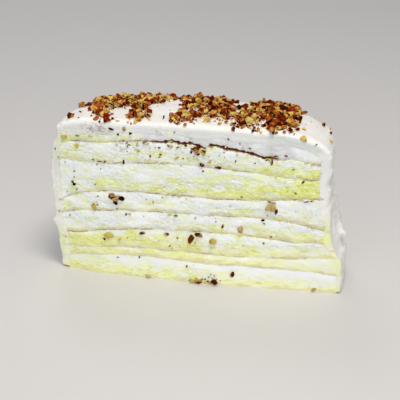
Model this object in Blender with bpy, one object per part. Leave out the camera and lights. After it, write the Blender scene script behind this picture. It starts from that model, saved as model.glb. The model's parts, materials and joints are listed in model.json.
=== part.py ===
# A piece of a layer cake, cut straight across.
#
# Eight thin biscuit layers with browned undersides lie between seven layers of cream, and white icing with chopped
# nuts covers the top, the ends and the rounded back. The flat side with the layers showing is the cut. It faces -Y.
#
# Every layer is a closed body that runs through the whole piece. Places in plan are given as (u, v):
#   u  from -1 at the left end to 1 at the right end
#   v  from 0 on the cut to 1 at the back
# Sizes are millimetres. MM turns them into Blender's metres.

import math
import random

import bmesh
import bpy
from mathutils import Euler, Matrix, Vector, noise
from mathutils.bvhtree import BVHTree

MM = 0.001
GAP = 0.3  # between neighbouring pieces

# The whole piece, with its icing
LEFT, RIGHT = 76.8, 74.6  # middle of the cut to each end
DEPTH = 67.0  # cut to the back
SQUARENESS = 3.6  # of the plan: 2 is half an ellipse, and more comes nearer to a rectangle
LEFT_DRAWN_IN = (2.8, 5.0)  # the left end draws in towards the plate and towards the top
RIGHT_FOOT_OUT = 6.6  # the right end has sagged outwards at the foot
RIGHT_BELLY = 1.2  # and stands out a little in its lower half
RIGHT_NOTCH, RIGHT_NOTCH_AT = 1.0, 62  # a shallow dent in it, and the dent's height
CROWN = 90.6  # icing at the middle of the cut
DOME_DROP, DOME_POWER = 4.2, 2.7  # how much lower the icing is at the rim
SHOULDER_DROP = {"left": 4.6, "right": 10.8, "back": 5.2}
SHOULDER_START = 0.62  # share of the radius

# The icing's own thickness
TOP_ICING = 5.2
LEFT_ICING, RIGHT_ICING, BACK_ICING, FOOT_ICING = 2.6, 5.4, 4.2, 2.4
ICING_FOOT = 1.0  # the icing's lower edge is this far above the plate
SWIPE = 3.7  # bulge of the thick swipe of icing low on the right end

# Biscuits, from the top. For each: height of the underside at the middle of the cut, then how far it bends down at
# the left end and with which power of u, the same for the right end, and its thickness. The top one reaches up to
# the icing.
BISCUITS = (
    (80.4, 4.5, 3.0, 8.0, 2.0, None),
    (67.2, 1.6, 2.0, 3.6, 2.0, 5.6),
    (50.3, 9.0, 6.0, -3.0, 2.0, 8.6),
    (40.0, 5.5, 2.5, 4.4, 5.0, 5.0),
    (29.5, 11.0, 3.0, 4.4, 5.0, 4.6),
    (17.4, 3.4, 1.5, -2.6, 2.0, 6.6),
    (12.2, 4.4, 5.0, 2.0, 2.0, 3.0),
    (0.0, 0.0, 1.0, 0.0, 1.0, 8.0),
)
BACK_DROP = 3.0  # how far the layers bend down at the back
BASE_THINNING = 3.4  # the lowest biscuit is this much thinner at the ends
WAVE = 0.5  # unevenness of the layers
THINNEST = 1.6  # a layer of cream is at least this thick
CREAM_PROUD = 0.6  # the cream stands out of the cut

# The cut itself
LEFT_CORNER_BACK = 4.5  # the cut's left end lies further back
FOOT_BULGE = 2.6  # and its foot bulges forward, right of the middle

# Chopped nuts on the icing
NUTS = 158
NUT_SIZES = (5.4, 2.6)  # across the largest and the smallest
NUT_SUNK = 0.22  # share of a nut's size that is in the icing
NUT_CLEARANCE = 0.38  # least distance between two nuts, as a share of their sizes together
NUT_FROM_CUT = 2.5
NUT_SEED = 11
# Clumps: the middle in plan, the reach across and back, and the weight, which is negative for a bare patch
NUT_CLUMPS = (
    (-54, 20, 7, 9, 0.8),
    (-46, 4, 4, 4, 0.6),
    (-32, 14, 5, 12, 1.0),
    (-20, 22, 7, 18, -1.0),
    (-8, 13, 5, 8, 0.9),
    (10, 20, 12, 7, 0.7),
    (30, 8, 7, 8, 0.8),
    (43, 10, 7, 12, 1.0),
    (68, 20, 9, 34, -1.2),
)

COLUMNS = 30  # faces along the round side, and along the cut
LAYER_ROWS = (0.0, 0.72, 1.0)  # shares of the way from the cut to the back, at which a layer has vertices
TOP_ROWS = (0.0, 0.3, 0.58, 0.78, 0.92, 1.0)

ICING_WHITE = (0.86, 0.84, 0.82, 1.0)
CREAM_WHITE = (0.84, 0.85, 0.78, 1.0)
BISCUIT_YELLOW = (0.78, 0.78, 0.42, 1.0)


def smooth(value):
    """0 below 0, 1 above 1, and a smooth step between."""
    value = min(1.0, max(0.0, value))
    return value * value * (3.0 - 2.0 * value)


def bump(value, middle, width):
    """1 at the middle, falling to 0 over a few widths."""
    return math.exp(-(((value - middle) / width) ** 2))


def radius_share(u, v):
    """0 at the middle of the cut and 1 on the round side."""
    return (abs(u) ** SQUARENESS + abs(v) ** SQUARENESS) ** (1 / SQUARENESS)


def rim_point(column):
    """(u, v) on the round side, from the right end (column 0) over the back to the left end (column 1)."""
    angle = math.pi * column
    across, back = math.cos(angle), math.sin(angle)
    reach = radius_share(across, back)
    return across / reach, back / reach


def plan_point(column, share):
    """(u, v) a share of the way from the cut to the round side. The columns stand at even angles on both."""
    front = math.cos(math.pi * column)
    u, v = rim_point(column)
    return front + (u - front) * share, v * share


def by_side(u, left, right, back):
    """Blends a size from the left end over the back to the right end."""
    end = right if u > 0 else left
    return back + (end - back) * smooth((abs(u) - 0.35) / 0.6)


def half_width(u, height):
    """Middle of the cut to the outer face of the icing on the left or right, at this height."""
    if u > 0:
        foot = RIGHT_FOOT_OUT * smooth((32 - height) / 18)
        belly = RIGHT_BELLY * smooth((50 - height) / 16)
        return RIGHT + foot + belly - RIGHT_NOTCH * bump(height, RIGHT_NOTCH_AT, 4)
    middle = 52
    drawn_in = LEFT_DRAWN_IN[0] if height < middle else LEFT_DRAWN_IN[1]
    return LEFT - drawn_in * ((height - middle) / middle) ** 2


def swipe(v, u, height):
    """Outward bulge of the thick swipe of icing low on the right end."""
    if u < 0:
        return 0.0
    return SWIPE * smooth((v - 0.04) / 0.2) * smooth((0.75 - v) / 0.4) * bump(height, 34, 15)


def cut_y(x, height):
    """Where the cut lies: a plane with a receding left corner and a bulging foot."""
    corner = LEFT_CORNER_BACK * smooth((-48 - x) / 26) * (1 - 0.6 * height / CROWN)
    bulge = FOOT_BULGE * bump(x, 15, 34) * smooth((30 - height) / 30)
    return corner - bulge


def place(u, v, height, inset=0.0, proud=0.0):
    """The point in millimetres. inset is measured from the icing's outer face, and proud stands out of the cut."""
    x = (half_width(u, height) - inset) * u
    front = cut_y(x, height) - proud * smooth(1 - 8 * v)
    return Vector((x, front * (1 - v) ** 2 + (DEPTH - inset) * v, height))


def icing_height(u, v):
    """Top of the icing: a low dome with a rounded shoulder."""
    radius = min(1.0, radius_share(u, v))
    drop = by_side(u, SHOULDER_DROP["left"], SHOULDER_DROP["right"], SHOULDER_DROP["back"])
    over = max(0.0, (radius - SHOULDER_START) / (1 - SHOULDER_START))
    swell = 0.7 * noise.noise(Vector((3.1 * u, 3.1 * v, 0.7))) * (1 - over)
    return CROWN - DOME_DROP * radius**DOME_POWER - drop * (1 - math.sqrt(1 - over * over)) + swell


def inner_height(u, v):
    """Upper side of the top biscuit, which the icing lies on."""
    inward = 1 - RIGHT_ICING / RIGHT
    return icing_height(inward * u, inward * v) - TOP_ICING


def side_icing(u, height):
    """Thickness of the icing on the side."""
    right = FOOT_ICING + (RIGHT_ICING - FOOT_ICING) * smooth((height - 34) / 22)
    return by_side(u, LEFT_ICING, right, BACK_ICING)


def underside(layer, u, v):
    """Height of a biscuit's underside. It waves, and it bends down towards the ends and the back."""
    middle, left_drop, left_power, right_drop, right_power, _ = BISCUITS[layer]
    if middle == 0:
        return 0.0
    bend = right_drop * u**right_power if u > 0 else left_drop * (-u) ** left_power
    bend = bend * (1 - v) ** 2 + BACK_DROP * radius_share(u, v) ** 3 * smooth(v / 0.5)
    wave = math.sin(5.1 * u + 1.7 * layer) + 0.7 * math.sin(4.3 * v + 2.3 * layer + 2.0 * u)
    return middle - bend + WAVE * wave


def boundary_heights(u, v):
    """The heights that part the layers, from the plate up to the icing, each a little above the one before."""
    found = []
    for layer in reversed(range(len(BISCUITS))):
        low = underside(layer, u, v)
        thickness = BISCUITS[layer][-1]
        if found:
            low = max(low, found[-1] + THINNEST)
        else:
            thickness -= BASE_THINNING * u * u
        if thickness is None:
            high = max(inner_height(u, v), low + THINNEST)
        else:
            high = low + thickness * (1 + 0.08 * math.sin(7.3 * u + 2.9 * layer))
        found += [low, high]
    return found


def draped_grid(mesh, rows, position):
    """Adds a grid to the bmesh with COLUMNS faces one way, each vertex where position(column, row) says."""
    last = len(rows) - 1
    made = bmesh.ops.create_grid(mesh, x_segments=COLUMNS, y_segments=last, size=1.0)
    for vertex in made["verts"]:
        column = (1 + vertex.co.x) / 2
        row = rows[round(last * (1 + vertex.co.y) / 2)]
        vertex.co = position(column, row) * MM
    bmesh.ops.remove_doubles(mesh, verts=made["verts"], dist=1e-6)


def closed_object(name, mesh, colour, roughness):
    """Bridges the two open grids of a bmesh into one closed body and makes it an object with its own material."""
    border = [edge for edge in mesh.edges if edge.is_boundary]
    bmesh.ops.bridge_loops(mesh, edges=border)
    bmesh.ops.recalc_face_normals(mesh, faces=mesh.faces)
    data = bpy.data.meshes.new(name)
    mesh.to_mesh(data)
    mesh.free()
    made = bpy.data.objects.new(name, data)
    data.materials.append(plain_material(name, colour, roughness))
    data.shade_smooth()
    data.set_sharp_from_angle(angle=math.radians(40))
    return made


def plain_material(name, colour, roughness):
    """A Principled material of one colour."""
    material = bpy.data.materials.new(name)
    material.use_nodes = True
    shader = material.node_tree.nodes["Principled BSDF"]
    shader.inputs["Base Color"].default_value = colour
    shader.inputs["Roughness"].default_value = roughness
    return material


def layer_object(name, order, proud, top_rows, colour):
    """A biscuit or a layer of cream, between two boundaries."""

    def at(boundary, clearance):
        def position(column, share):
            u, v = plan_point(column, share)
            height = boundary_heights(u, v)[boundary] + clearance
            inset = side_icing(u, height) + GAP
            return place(u, v, height, inset, proud)

        return position

    mesh = bmesh.new()
    draped_grid(mesh, LAYER_ROWS, at(order, 0.0 if order == 0 else GAP / 2))
    draped_grid(mesh, top_rows, at(order + 1, -GAP / 2))
    return closed_object(name, mesh, colour, 0.8)


def layer_objects():
    """Every biscuit and layer of cream, from the plate up. Biscuit 1 and cream 1 are the top ones."""
    last = 2 * len(BISCUITS) - 2
    made = []
    for order in range(last + 1):
        number = len(BISCUITS) - order // 2
        if order % 2 == 0:
            rows = TOP_ROWS if order == last else LAYER_ROWS
            made.append(layer_object(f"biscuit_{number}", order, 0.0, rows, BISCUIT_YELLOW))
        else:
            made.append(layer_object(f"cream_{number - 1}", order, CREAM_PROUD, LAYER_ROWS, CREAM_WHITE))
    return made


def icing_object():
    """The icing: an outer and an inner skin, each a grid that goes back over the top and down the round side."""
    levels = 2 * len(BISCUITS) - 1
    rows = [("top", share) for share in TOP_ROWS] + [("side", level) for level in reversed(range(levels))]

    def outer(column, row):
        kind, value = row
        if kind == "top":
            u, v = plan_point(column, value)
            return place(u, v, icing_height(u, v))
        u, v = rim_point(column)
        height = ICING_FOOT + (icing_height(u, v) - ICING_FOOT) * value / levels
        return place(u, v, height, inset=-swipe(v, u, height))

    def inner(column, row):
        kind, value = row
        u, v = plan_point(column, value if kind == "top" else 1.0)
        boundary = levels if kind == "top" else value
        height = max(ICING_FOOT, boundary_heights(u, v)[boundary])
        if kind == "top":
            height += GAP / 2
        return place(u, v, height, side_icing(u, height))

    mesh = bmesh.new()
    draped_grid(mesh, rows, outer)
    draped_grid(mesh, rows, inner)
    return closed_object("icing", mesh, ICING_WHITE, 0.35)


def nut_density(x, y):
    """How thickly the nuts lie, from 0 to 1: a band along the crown and back, with clumps and bare patches."""
    thickness = 0.95 * smooth((y - 20) / 20)
    for middle_x, middle_y, reach_x, reach_y, weight in NUT_CLUMPS:
        thickness += weight * bump(x, middle_x, reach_x) * bump(y, middle_y, reach_y)
    radius = radius_share(x / (RIGHT if x > 0 else LEFT), y / DEPTH)
    return min(1.0, max(0.0, thickness)) * smooth((0.99 - radius) / 0.08)


def scattered_nuts():
    """Places and sizes of the nuts, the largest first, each kept clear of those before it."""
    draw = random.Random(NUT_SEED)
    found = []
    while len(found) < NUTS:
        size = NUT_SIZES[0] + (NUT_SIZES[1] - NUT_SIZES[0]) * (len(found) / NUTS) ** 0.7
        x, y = draw.uniform(-LEFT, RIGHT), draw.uniform(NUT_FROM_CUT, DEPTH)
        clear = all(math.hypot(x - a, y - b) > NUT_CLEARANCE * (size + s) for a, b, s in found)
        if clear and draw.random() < nut_density(x, y):
            found.append((x, y, size))
    return found


def surface_of(body):
    """The object's faces as a tree that rays can be cast at."""
    mesh = bmesh.new()
    mesh.from_mesh(body.data)
    tree = BVHTree.FromBMesh(mesh)
    mesh.free()
    return tree


def nut_objects(icing):
    """A chip of chopped nut for each place: a distorted icosahedron, flatter than wide, sunk a little."""
    draw = random.Random(NUT_SEED + 1)
    surface = surface_of(icing)
    made = []
    for x, y, size in scattered_nuts():
        mesh = bmesh.new()
        bmesh.ops.create_icosphere(mesh, subdivisions=1, radius=size / 2 * MM)
        for vertex in mesh.verts:
            vertex.co *= draw.uniform(0.78, 1.12)
        flat = Matrix.Diagonal((1.0, draw.uniform(0.7, 0.95), draw.uniform(0.55, 0.8), 1.0))
        turn = Euler((draw.uniform(-0.7, 0.7), draw.uniform(-0.7, 0.7), draw.uniform(0, math.tau))).to_matrix()
        at, normal, _, _ = surface.ray_cast(Vector((x, y, 2 * CROWN)) * MM, Vector((0, 0, -1)))
        at += normal * (0.34 - NUT_SUNK) * size * MM
        mesh.transform(Matrix.Translation(at) @ turn.to_4x4() @ flat)
        data = bpy.data.meshes.new("nut")
        mesh.to_mesh(data)
        mesh.free()
        made.append(bpy.data.objects.new("nut", data))
    return made


def fuse(body, extras):
    """Joins the extras to the body by one Boolean union, applies it and removes them."""
    group = bpy.data.collections.new("toppings")
    bpy.context.scene.collection.children.link(group)
    for extra in extras:
        group.objects.link(extra)
    union = body.modifiers.new("toppings", "BOOLEAN")
    union.operation = "UNION"
    union.operand_type = "COLLECTION"
    union.collection = group
    union.solver = "MANIFOLD"  # EXACT takes minutes with this many chips
    graph = bpy.context.evaluated_depsgraph_get()
    body.data = bpy.data.meshes.new_from_object(body.evaluated_get(graph))
    body.modifiers.clear()
    for extra in extras:
        bpy.data.objects.remove(extra)
    bpy.data.collections.remove(group)


def stand_on_origin(parts):
    """Moves the meshes so that the origin is at the middle of the base."""
    corners = [vertex.co for part in parts for vertex in part.data.vertices]
    middle = Vector(
        (
            (min(c.x for c in corners) + max(c.x for c in corners)) / 2,
            (min(c.y for c in corners) + max(c.y for c in corners)) / 2,
            min(c.z for c in corners),
        )
    )
    for part in parts:
        part.data.transform(Matrix.Translation(-middle))


def main():
    for existing in list(bpy.data.objects):
        bpy.data.objects.remove(existing)
    cake = bpy.data.collections.new("biscuit_cream_cake")
    bpy.context.scene.collection.children.link(cake)
    icing = icing_object()
    parts = [icing, *layer_objects()]
    for part in parts:
        cake.objects.link(part)
    fuse(icing, nut_objects(icing))
    stand_on_origin(parts)


main()
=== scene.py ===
# %% [markdown]
# # A piece of biscuit cream cake
#
# This lesson dresses a plain model of a cut layer cake: eight thin sponge biscuits, seven layers of cream, white
# icing over the top, the ends and the back, and chopped nuts on the crown.
#
# The plain model is loaded first and stays as it is. Each of its solids is then replaced by a finer mesh of the same
# form, because soft food is all surface: torn crumb, smeared cream, spatula strokes.

# %% Load the plain model
import json
import math
import random

import bmesh
import bpy
import numpy as np
from mathutils import Euler, Matrix, Vector, noise
from mathutils.bvhtree import BVHTree

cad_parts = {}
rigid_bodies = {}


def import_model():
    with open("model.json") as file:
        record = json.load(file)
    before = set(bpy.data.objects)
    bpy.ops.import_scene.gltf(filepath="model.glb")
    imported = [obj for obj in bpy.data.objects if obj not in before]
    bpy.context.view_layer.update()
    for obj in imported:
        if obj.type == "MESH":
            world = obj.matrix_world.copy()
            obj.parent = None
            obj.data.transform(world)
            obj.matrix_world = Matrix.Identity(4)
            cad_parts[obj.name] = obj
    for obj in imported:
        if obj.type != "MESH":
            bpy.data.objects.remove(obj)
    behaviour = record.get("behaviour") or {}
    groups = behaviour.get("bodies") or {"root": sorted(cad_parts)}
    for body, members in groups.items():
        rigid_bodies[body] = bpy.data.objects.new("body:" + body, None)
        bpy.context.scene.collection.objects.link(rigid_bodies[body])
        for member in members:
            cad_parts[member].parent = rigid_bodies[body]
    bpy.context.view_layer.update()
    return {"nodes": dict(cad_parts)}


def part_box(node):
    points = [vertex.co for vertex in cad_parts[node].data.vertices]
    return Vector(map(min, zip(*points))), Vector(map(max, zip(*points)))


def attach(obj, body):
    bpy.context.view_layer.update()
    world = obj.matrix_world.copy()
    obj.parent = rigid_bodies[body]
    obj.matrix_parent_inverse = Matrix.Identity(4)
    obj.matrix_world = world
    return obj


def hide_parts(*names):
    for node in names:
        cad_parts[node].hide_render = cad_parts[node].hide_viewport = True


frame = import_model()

MM = 0.001
print("nodes to dress:", sorted(frame["nodes"]))


def put(name, data):
    """A new object in the scene."""
    made = bpy.data.objects.new(name, data)
    bpy.context.scene.collection.objects.link(made)
    return made


def store(mesh, name, values, domain="POINT"):
    """Gives each point or face of a mesh a number."""
    mesh.attributes.new(name, "FLOAT", domain).data.foreach_set("value", values)


# %% [markdown]
# ## The form of the cake
#
# The same few sizes that made the plain model make the fine one, so the two agree everywhere. A place in plan is
# (u, v): u runs from -1 at the left end to 1 at the right end, and v from 0 on the cut to 1 at the back. All the
# functions take arrays, so one call works out thousands of points.

# %% Sizes, in millimetres
LEFT, RIGHT, DEPTH, SQUARENESS = 76.8, 74.6, 67.0, 3.6
LEFT_DRAWN_IN, LEFT_MIDDLE = (2.8, 5.0), 52  # at the foot and the top, and the height where it's widest
RIGHT_FOOT_OUT, RIGHT_BELLY, RIGHT_NOTCH = 6.6, 1.2, 1.0
RIGHT_FOOT_TOP, RIGHT_BELLY_TOP, RIGHT_NOTCH_AT = 32, 50, 62  # heights
CROWN, DOME_DROP, DOME_POWER, SHOULDER_START = 90.6, 4.2, 2.7, 0.62  # the shoulder's start as a share of the radius
SHOULDER_DROP = {"left": 4.6, "right": 10.8, "back": 5.2}
TOP_ICING, LEFT_ICING, RIGHT_ICING, BACK_ICING, FOOT_ICING = 5.2, 2.6, 5.4, 4.2, 2.4
ICING_FOOT, SWIPE, SWIPE_AT, SWIPE_REACH = 1.0, 2.9, 31, 12
BISCUITS = (  # from the top: underside, bend and power at the left, bend and power at the right, thickness
    (80.4, 4.5, 3.0, 8.0, 2.0, None),
    (67.2, 1.6, 2.0, 3.6, 2.0, 5.6),
    (50.3, 9.0, 6.0, -3.0, 2.0, 8.6),
    (40.0, 5.5, 2.5, 4.4, 5.0, 5.0),
    (29.5, 11.0, 3.0, 4.4, 5.0, 4.6),
    (17.4, 3.4, 1.5, -2.6, 2.0, 6.6),
    (12.2, 4.4, 5.0, 2.0, 2.0, 3.0),
    (0.0, 0.0, 1.0, 0.0, 1.0, 8.0),
)
BACK_DROP, BASE_THINNING, WAVE, THINNEST = 3.0, 3.4, 0.5, 1.6  # of the layers
LEFT_CORNER_BACK, LEFT_CORNER_FROM = 4.5, -48
FOOT_BULGE, BULGE_AT, BULGE_WIDE, BULGE_TOP = 2.6, 15, 34, 30
print(len(BISCUITS), "biscuits with", len(BISCUITS) - 1, "layers of cream between them")


# %% Helpers for arrays
def smooth(value):
    """0 below 0, 1 above 1, and a smooth step between."""
    value = np.clip(value, 0.0, 1.0)
    return value * value * (3.0 - 2.0 * value)


def bump(value, middle, width):
    """1 at the middle, falling to 0 over a few widths."""
    return np.exp(-(((value - middle) / width) ** 2))


def unevenness(x, y, z, seed, octaves=1):
    """Perlin noise from about -1 to 1 at each place. Dividing x, y or z beforehand sets the size of the lumps."""
    x, y, z = np.broadcast_arrays(x, y, z)
    flat = np.stack([x, y, z], -1).reshape(-1, 3) + 17.3 * seed
    if octaves == 1:
        values = [noise.noise(place_at) for place_at in flat.tolist()]
    else:
        values = [noise.fractal(place_at, 0.8, 2.1, octaves) for place_at in flat.tolist()]
    return np.array(values).reshape(x.shape)


# %% The plan and the dome
def radius_share(u, v):
    """0 at the middle of the cut and 1 on the round side."""
    return (np.abs(u) ** SQUARENESS + np.abs(v) ** SQUARENESS) ** (1 / SQUARENESS)


def plan_point(column, share):
    """(u, v) a share of the way from the cut to the round side, for columns from 0 (right end) to 1 (left end)."""
    front, back = np.cos(math.pi * column), np.sin(math.pi * column)
    reach = radius_share(front, back)
    return front + (front / reach - front) * share, back / reach * share


def by_side(u, left, right, back):
    """Blends a size from the left end over the back to the right end."""
    return back + (np.where(u > 0, right, left) - back) * smooth((np.abs(u) - 0.35) / 0.6)


def half_width(u, height):
    """Middle of the cut to the outer face of the icing on the left or right, at this height."""
    foot = RIGHT_FOOT_OUT * smooth((RIGHT_FOOT_TOP - height) / 18)
    belly = RIGHT_BELLY * smooth((RIGHT_BELLY_TOP - height) / 16)
    right = RIGHT + foot + belly - RIGHT_NOTCH * bump(height, RIGHT_NOTCH_AT, 4)
    drawn_in = np.where(height < LEFT_MIDDLE, *LEFT_DRAWN_IN)
    return np.where(u > 0, right, LEFT - drawn_in * ((height - LEFT_MIDDLE) / LEFT_MIDDLE) ** 2)


def swipe(v, u, height):
    """Outward bulge of the thick swipe of icing low on the right end."""
    reach = smooth((v - 0.04) / 0.2) * smooth((0.75 - v) / 0.4)
    return np.where(u < 0, 0.0, SWIPE * reach * bump(height, SWIPE_AT, SWIPE_REACH))


def cut_y(x, height):
    """Where the cut lies: a plane with a receding left corner and a bulging foot."""
    corner = LEFT_CORNER_BACK * smooth((LEFT_CORNER_FROM - x) / 26) * (1 - 0.6 * height / CROWN)
    bulge = FOOT_BULGE * bump(x, BULGE_AT, BULGE_WIDE) * smooth((BULGE_TOP - height) / BULGE_TOP)
    return corner - bulge


def place(u, v, height, inset=0.0):
    """Points in millimetres. inset is measured from the icing's outer face."""
    x = (half_width(u, height) - inset) * u
    y = cut_y(x, height) * (1 - v) ** 2 + (DEPTH - inset) * v
    return np.stack(np.broadcast_arrays(x, y, height), -1)


def icing_height(u, v):
    """Top of the icing: a low dome with a rounded shoulder."""
    radius = np.minimum(1.0, radius_share(u, v))
    drop = by_side(u, SHOULDER_DROP["left"], SHOULDER_DROP["right"], SHOULDER_DROP["back"])
    over = np.maximum(0.0, (radius - SHOULDER_START) / (1 - SHOULDER_START))
    swell = 0.7 * unevenness(3.1 * u, 3.1 * v, 0.7, seed=0) * (1 - over)
    return CROWN - DOME_DROP * radius**DOME_POWER - drop * (1 - np.sqrt(1 - over * over)) + swell


def inner_height(u, v):
    """Upper side of the top biscuit, which the icing lies on."""
    inward = 1 - RIGHT_ICING / RIGHT
    return icing_height(inward * u, inward * v) - TOP_ICING


def side_icing(u, height):
    """Thickness of the icing on the side."""
    right = FOOT_ICING + (RIGHT_ICING - FOOT_ICING) * smooth((height - 34) / 22)
    return by_side(u, LEFT_ICING, right, BACK_ICING)


print("half the width at the foot, left and right:", half_width(np.array([-1, 1]), 0).round(1))

# %% The heights that part the layers
SAG_AT = (-76, -50, -38, -27, -17, -11, -5, 0, 3, 8.5, 10.5, 14, 21, 29, 36, 42, 45, 52, 58, 76)  # along the cut
# How far the top biscuit's torn underside strays from its even line at each of these places
SAG = (0, -1.3, -0.2, 0.7, 0.2, 1.1, -0.2, 0.1, -1.0, -2.6, -0.9, -0.5, -1.8, -2.1, -2.6, -3.6, -2.5, -2.4, -0.3, 0)
HALF_CUT = 75  # u times this is the place along the cut, near enough for colours and unevenness


def ragged(layer, u, v):
    """Small strays of a biscuit's underside, which die out behind the cut."""
    x = HALF_CUT * u
    if layer == 0:
        stray = np.interp(x, SAG_AT, SAG)
    else:
        stray = 0.55 * unevenness(x / 9, 3.1 * layer, 0, seed=12) + 0.25 * unevenness(x / 3, 3.1 * layer, 0, seed=13)
    return stray * (1 - smooth(v / 0.2))


def underside(layer, u, v):
    """Height of a biscuit's underside. It waves, and it bends down towards the ends and the back."""
    middle, left_drop, left_power, right_drop, right_power, _ = BISCUITS[layer]
    if middle == 0:
        return np.zeros(np.broadcast(u, v).shape)
    out = np.abs(u)
    bend = np.where(u > 0, right_drop * out**right_power, left_drop * out**left_power)
    bend = bend * (1 - v) ** 2 + BACK_DROP * radius_share(u, v) ** 3 * smooth(v / 0.5)
    wave = np.sin(5.1 * u + 1.7 * layer) + 0.7 * np.sin(4.3 * v + 2.3 * layer + 2.0 * u)
    return middle - bend + WAVE * wave + ragged(layer, u, v)


def boundary_heights(u, v):
    """The heights from the plate up to the icing, each a little above the one before."""
    found = []
    for layer in reversed(range(len(BISCUITS))):
        low = underside(layer, u, v)
        thickness = BISCUITS[layer][-1]
        if found:
            low = np.maximum(low, found[-1] + THINNEST)
        else:
            thickness = thickness - BASE_THINNING * u * u
        if thickness is None:
            high = np.maximum(inner_height(u, v), low + THINNEST)
        else:
            high = low + thickness * (1 + 0.08 * np.sin(7.3 * u + 2.9 * layer))
        found += [low, high]
    return found


print("undersides in the middle of the cut:", [round(float(underside(n, 0.0, 0.0)), 1) for n in range(len(BISCUITS))])

# %% From the cake's own millimetres to the model's frame
LOOSE = 0.3  # how far the biscuits end short of the icing
_, base_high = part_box("biscuit_8")
base_right = float(half_width(1.0, 0.0) - FOOT_ICING) - LOOSE
base_back = DEPTH - BACK_ICING - LOOSE
SHIFT = np.array([base_high.x / MM - base_right, base_high.y / MM - base_back, 0.0])
print("the middle of the cut is at", (SHIFT * MM).round(4))


def to_frame(points):
    """Millimetres of the cake to metres of the model."""
    return (np.asarray(points) + SHIFT) * MM


# %% [markdown]
# ## Meshes from grids of points
#
# Each piece is built from rectangular sheets of points. `Shell` collects the sheets, and at the end it merges the
# points that two sheets share, closes what is open and turns all faces outwards.

# %% A shell made of sheets
MERGE, TOO_SMALL = 2e-6, 1e-7  # in metres: points nearer than this are one, and edges shorter than this go
SHARP = 62  # degrees between two faces from which their edge looks sharp


class Shell:
    """Collects points, faces and values for each point, and makes a closed mesh object of them."""

    def __init__(self):
        self.points, self.faces, self.values, self.count = [], [], [], 0

    def add_points(self, points, **values):
        """Adds points and gives back their numbers, in the same shape."""
        shape = points.shape[:-1]
        numbers = self.count + np.arange(int(np.prod(shape))).reshape(shape)
        self.points.append(points.reshape(-1, 3))
        self.values.append({name: np.broadcast_to(v, shape).ravel() for name, v in values.items()})
        self.count += numbers.size
        return numbers

    def add_sheet(self, points, **values):
        """Adds a sheet of points with a face between each four neighbours."""
        n = self.add_points(points, **values)
        corners = n[:-1, :-1], n[:-1, 1:], n[1:, 1:], n[1:, :-1]
        self.faces += np.stack(corners, -1).reshape(-1, 4).tolist()
        return n

    def zip_up(self, one, other):
        """Fills the band between two rows of points of different counts with triangles."""
        i = j = 0
        while i < len(one) - 1 or j < len(other) - 1:
            ahead = (i + 1) / len(one) > (j + 1) / len(other)
            if j < len(other) - 1 and (ahead or i == len(one) - 1):
                self.faces.append((one[i], other[j], other[j + 1]))
                j += 1
            else:
                self.faces.append((one[i], other[j], one[i + 1]))
                i += 1

    def make(self, name):
        """Merges, closes and turns outwards, and gives back the object."""
        mesh = bpy.data.meshes.new(name)
        mesh.from_pydata(to_frame(np.concatenate(self.points)).tolist(), [], self.faces)
        for key in sorted({key for values in self.values for key in values}):
            whole = [v.get(key, np.zeros(len(p))) for v, p in zip(self.values, self.points)]
            store(mesh, key, np.concatenate(whole))
        work = bmesh.new()
        work.from_mesh(mesh)
        bmesh.ops.remove_doubles(work, verts=work.verts, dist=MERGE)
        bmesh.ops.dissolve_degenerate(work, edges=work.edges, dist=TOO_SMALL)
        bmesh.ops.holes_fill(work, edges=[e for e in work.edges if e.is_boundary], sides=0)
        bmesh.ops.triangulate(work, faces=[f for f in work.faces if len(f.verts) > 4])
        bmesh.ops.recalc_face_normals(work, faces=work.faces)
        still_open = sum(1 for e in work.edges if not e.is_manifold)
        work.to_mesh(mesh)
        work.free()
        mesh.shade_smooth()
        mesh.set_sharp_from_angle(angle=math.radians(SHARP))
        print(f"{name}: {len(mesh.polygons)} faces, {still_open} edges that don't close")
        return put(name, mesh)


# %% [markdown]
# ## The torn surface of the cut
#
# A knife tears sponge and drags cream. Three sizes of unevenness stand for that: broad lumps, flat shreds that lie
# along the layers, and a fine grain with pores. The relief is one function of the place on the cut, so it runs on from
# layer to layer without a seam. In patches, and low down, the knife was pressed flat and left the cut smoother.

# %% Relief of the cut
LUMPS, SHREDS, GRAIN, PORES = 0.4, 0.22, 0.12, 0.28  # heights in millimetres


def dragged_icing(x, z):
    """1 where the knife dragged icing down over the top biscuit."""
    line = underside(0, x / HALF_CUT, 0 * x)
    return smooth((z - line - 0.4) / 1.4) * smooth((x + 46) / 14) * smooth((66 - x) / 8)


def crumbliness(x, z):
    """1 where the cut is torn and less where the knife smeared it smooth."""
    patches = 0.7 + 0.8 * unevenness(x / 16, 0, z / 6, seed=14)
    smeared = 0.6 * smooth((34 - z) / 22) + 0.2 * smooth((x - 5) / 50)
    return np.clip(patches, 0.2, 1.2) * (1 - smeared) * (1 - 0.8 * dragged_icing(x, z))


def cut_relief(x, z):
    """How far the cut stands out at each place, in millimetres."""
    lumps = unevenness(x / 7, 0, z / 4, seed=1) * (1 - 0.6 * dragged_icing(x, z)) * (1 - 0.35 * smooth((34 - z) / 20))
    shreds = unevenness(x / 2.0, 0, z / 1.4, seed=2, octaves=2)
    grain = unevenness(x / 1.2, 0, z / 1.0, seed=3, octaves=2)
    pores = smooth((unevenness(x / 1.9, 0, z / 1.3, seed=4) - 0.16) / 0.25)
    torn = crumbliness(x, z)
    return LUMPS * lumps + torn * (SHREDS * shreds + GRAIN * grain - PORES * pores)


print("relief at the middle of the cut:", cut_relief(np.array(0.0), np.array(45.0)).round(2))


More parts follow.
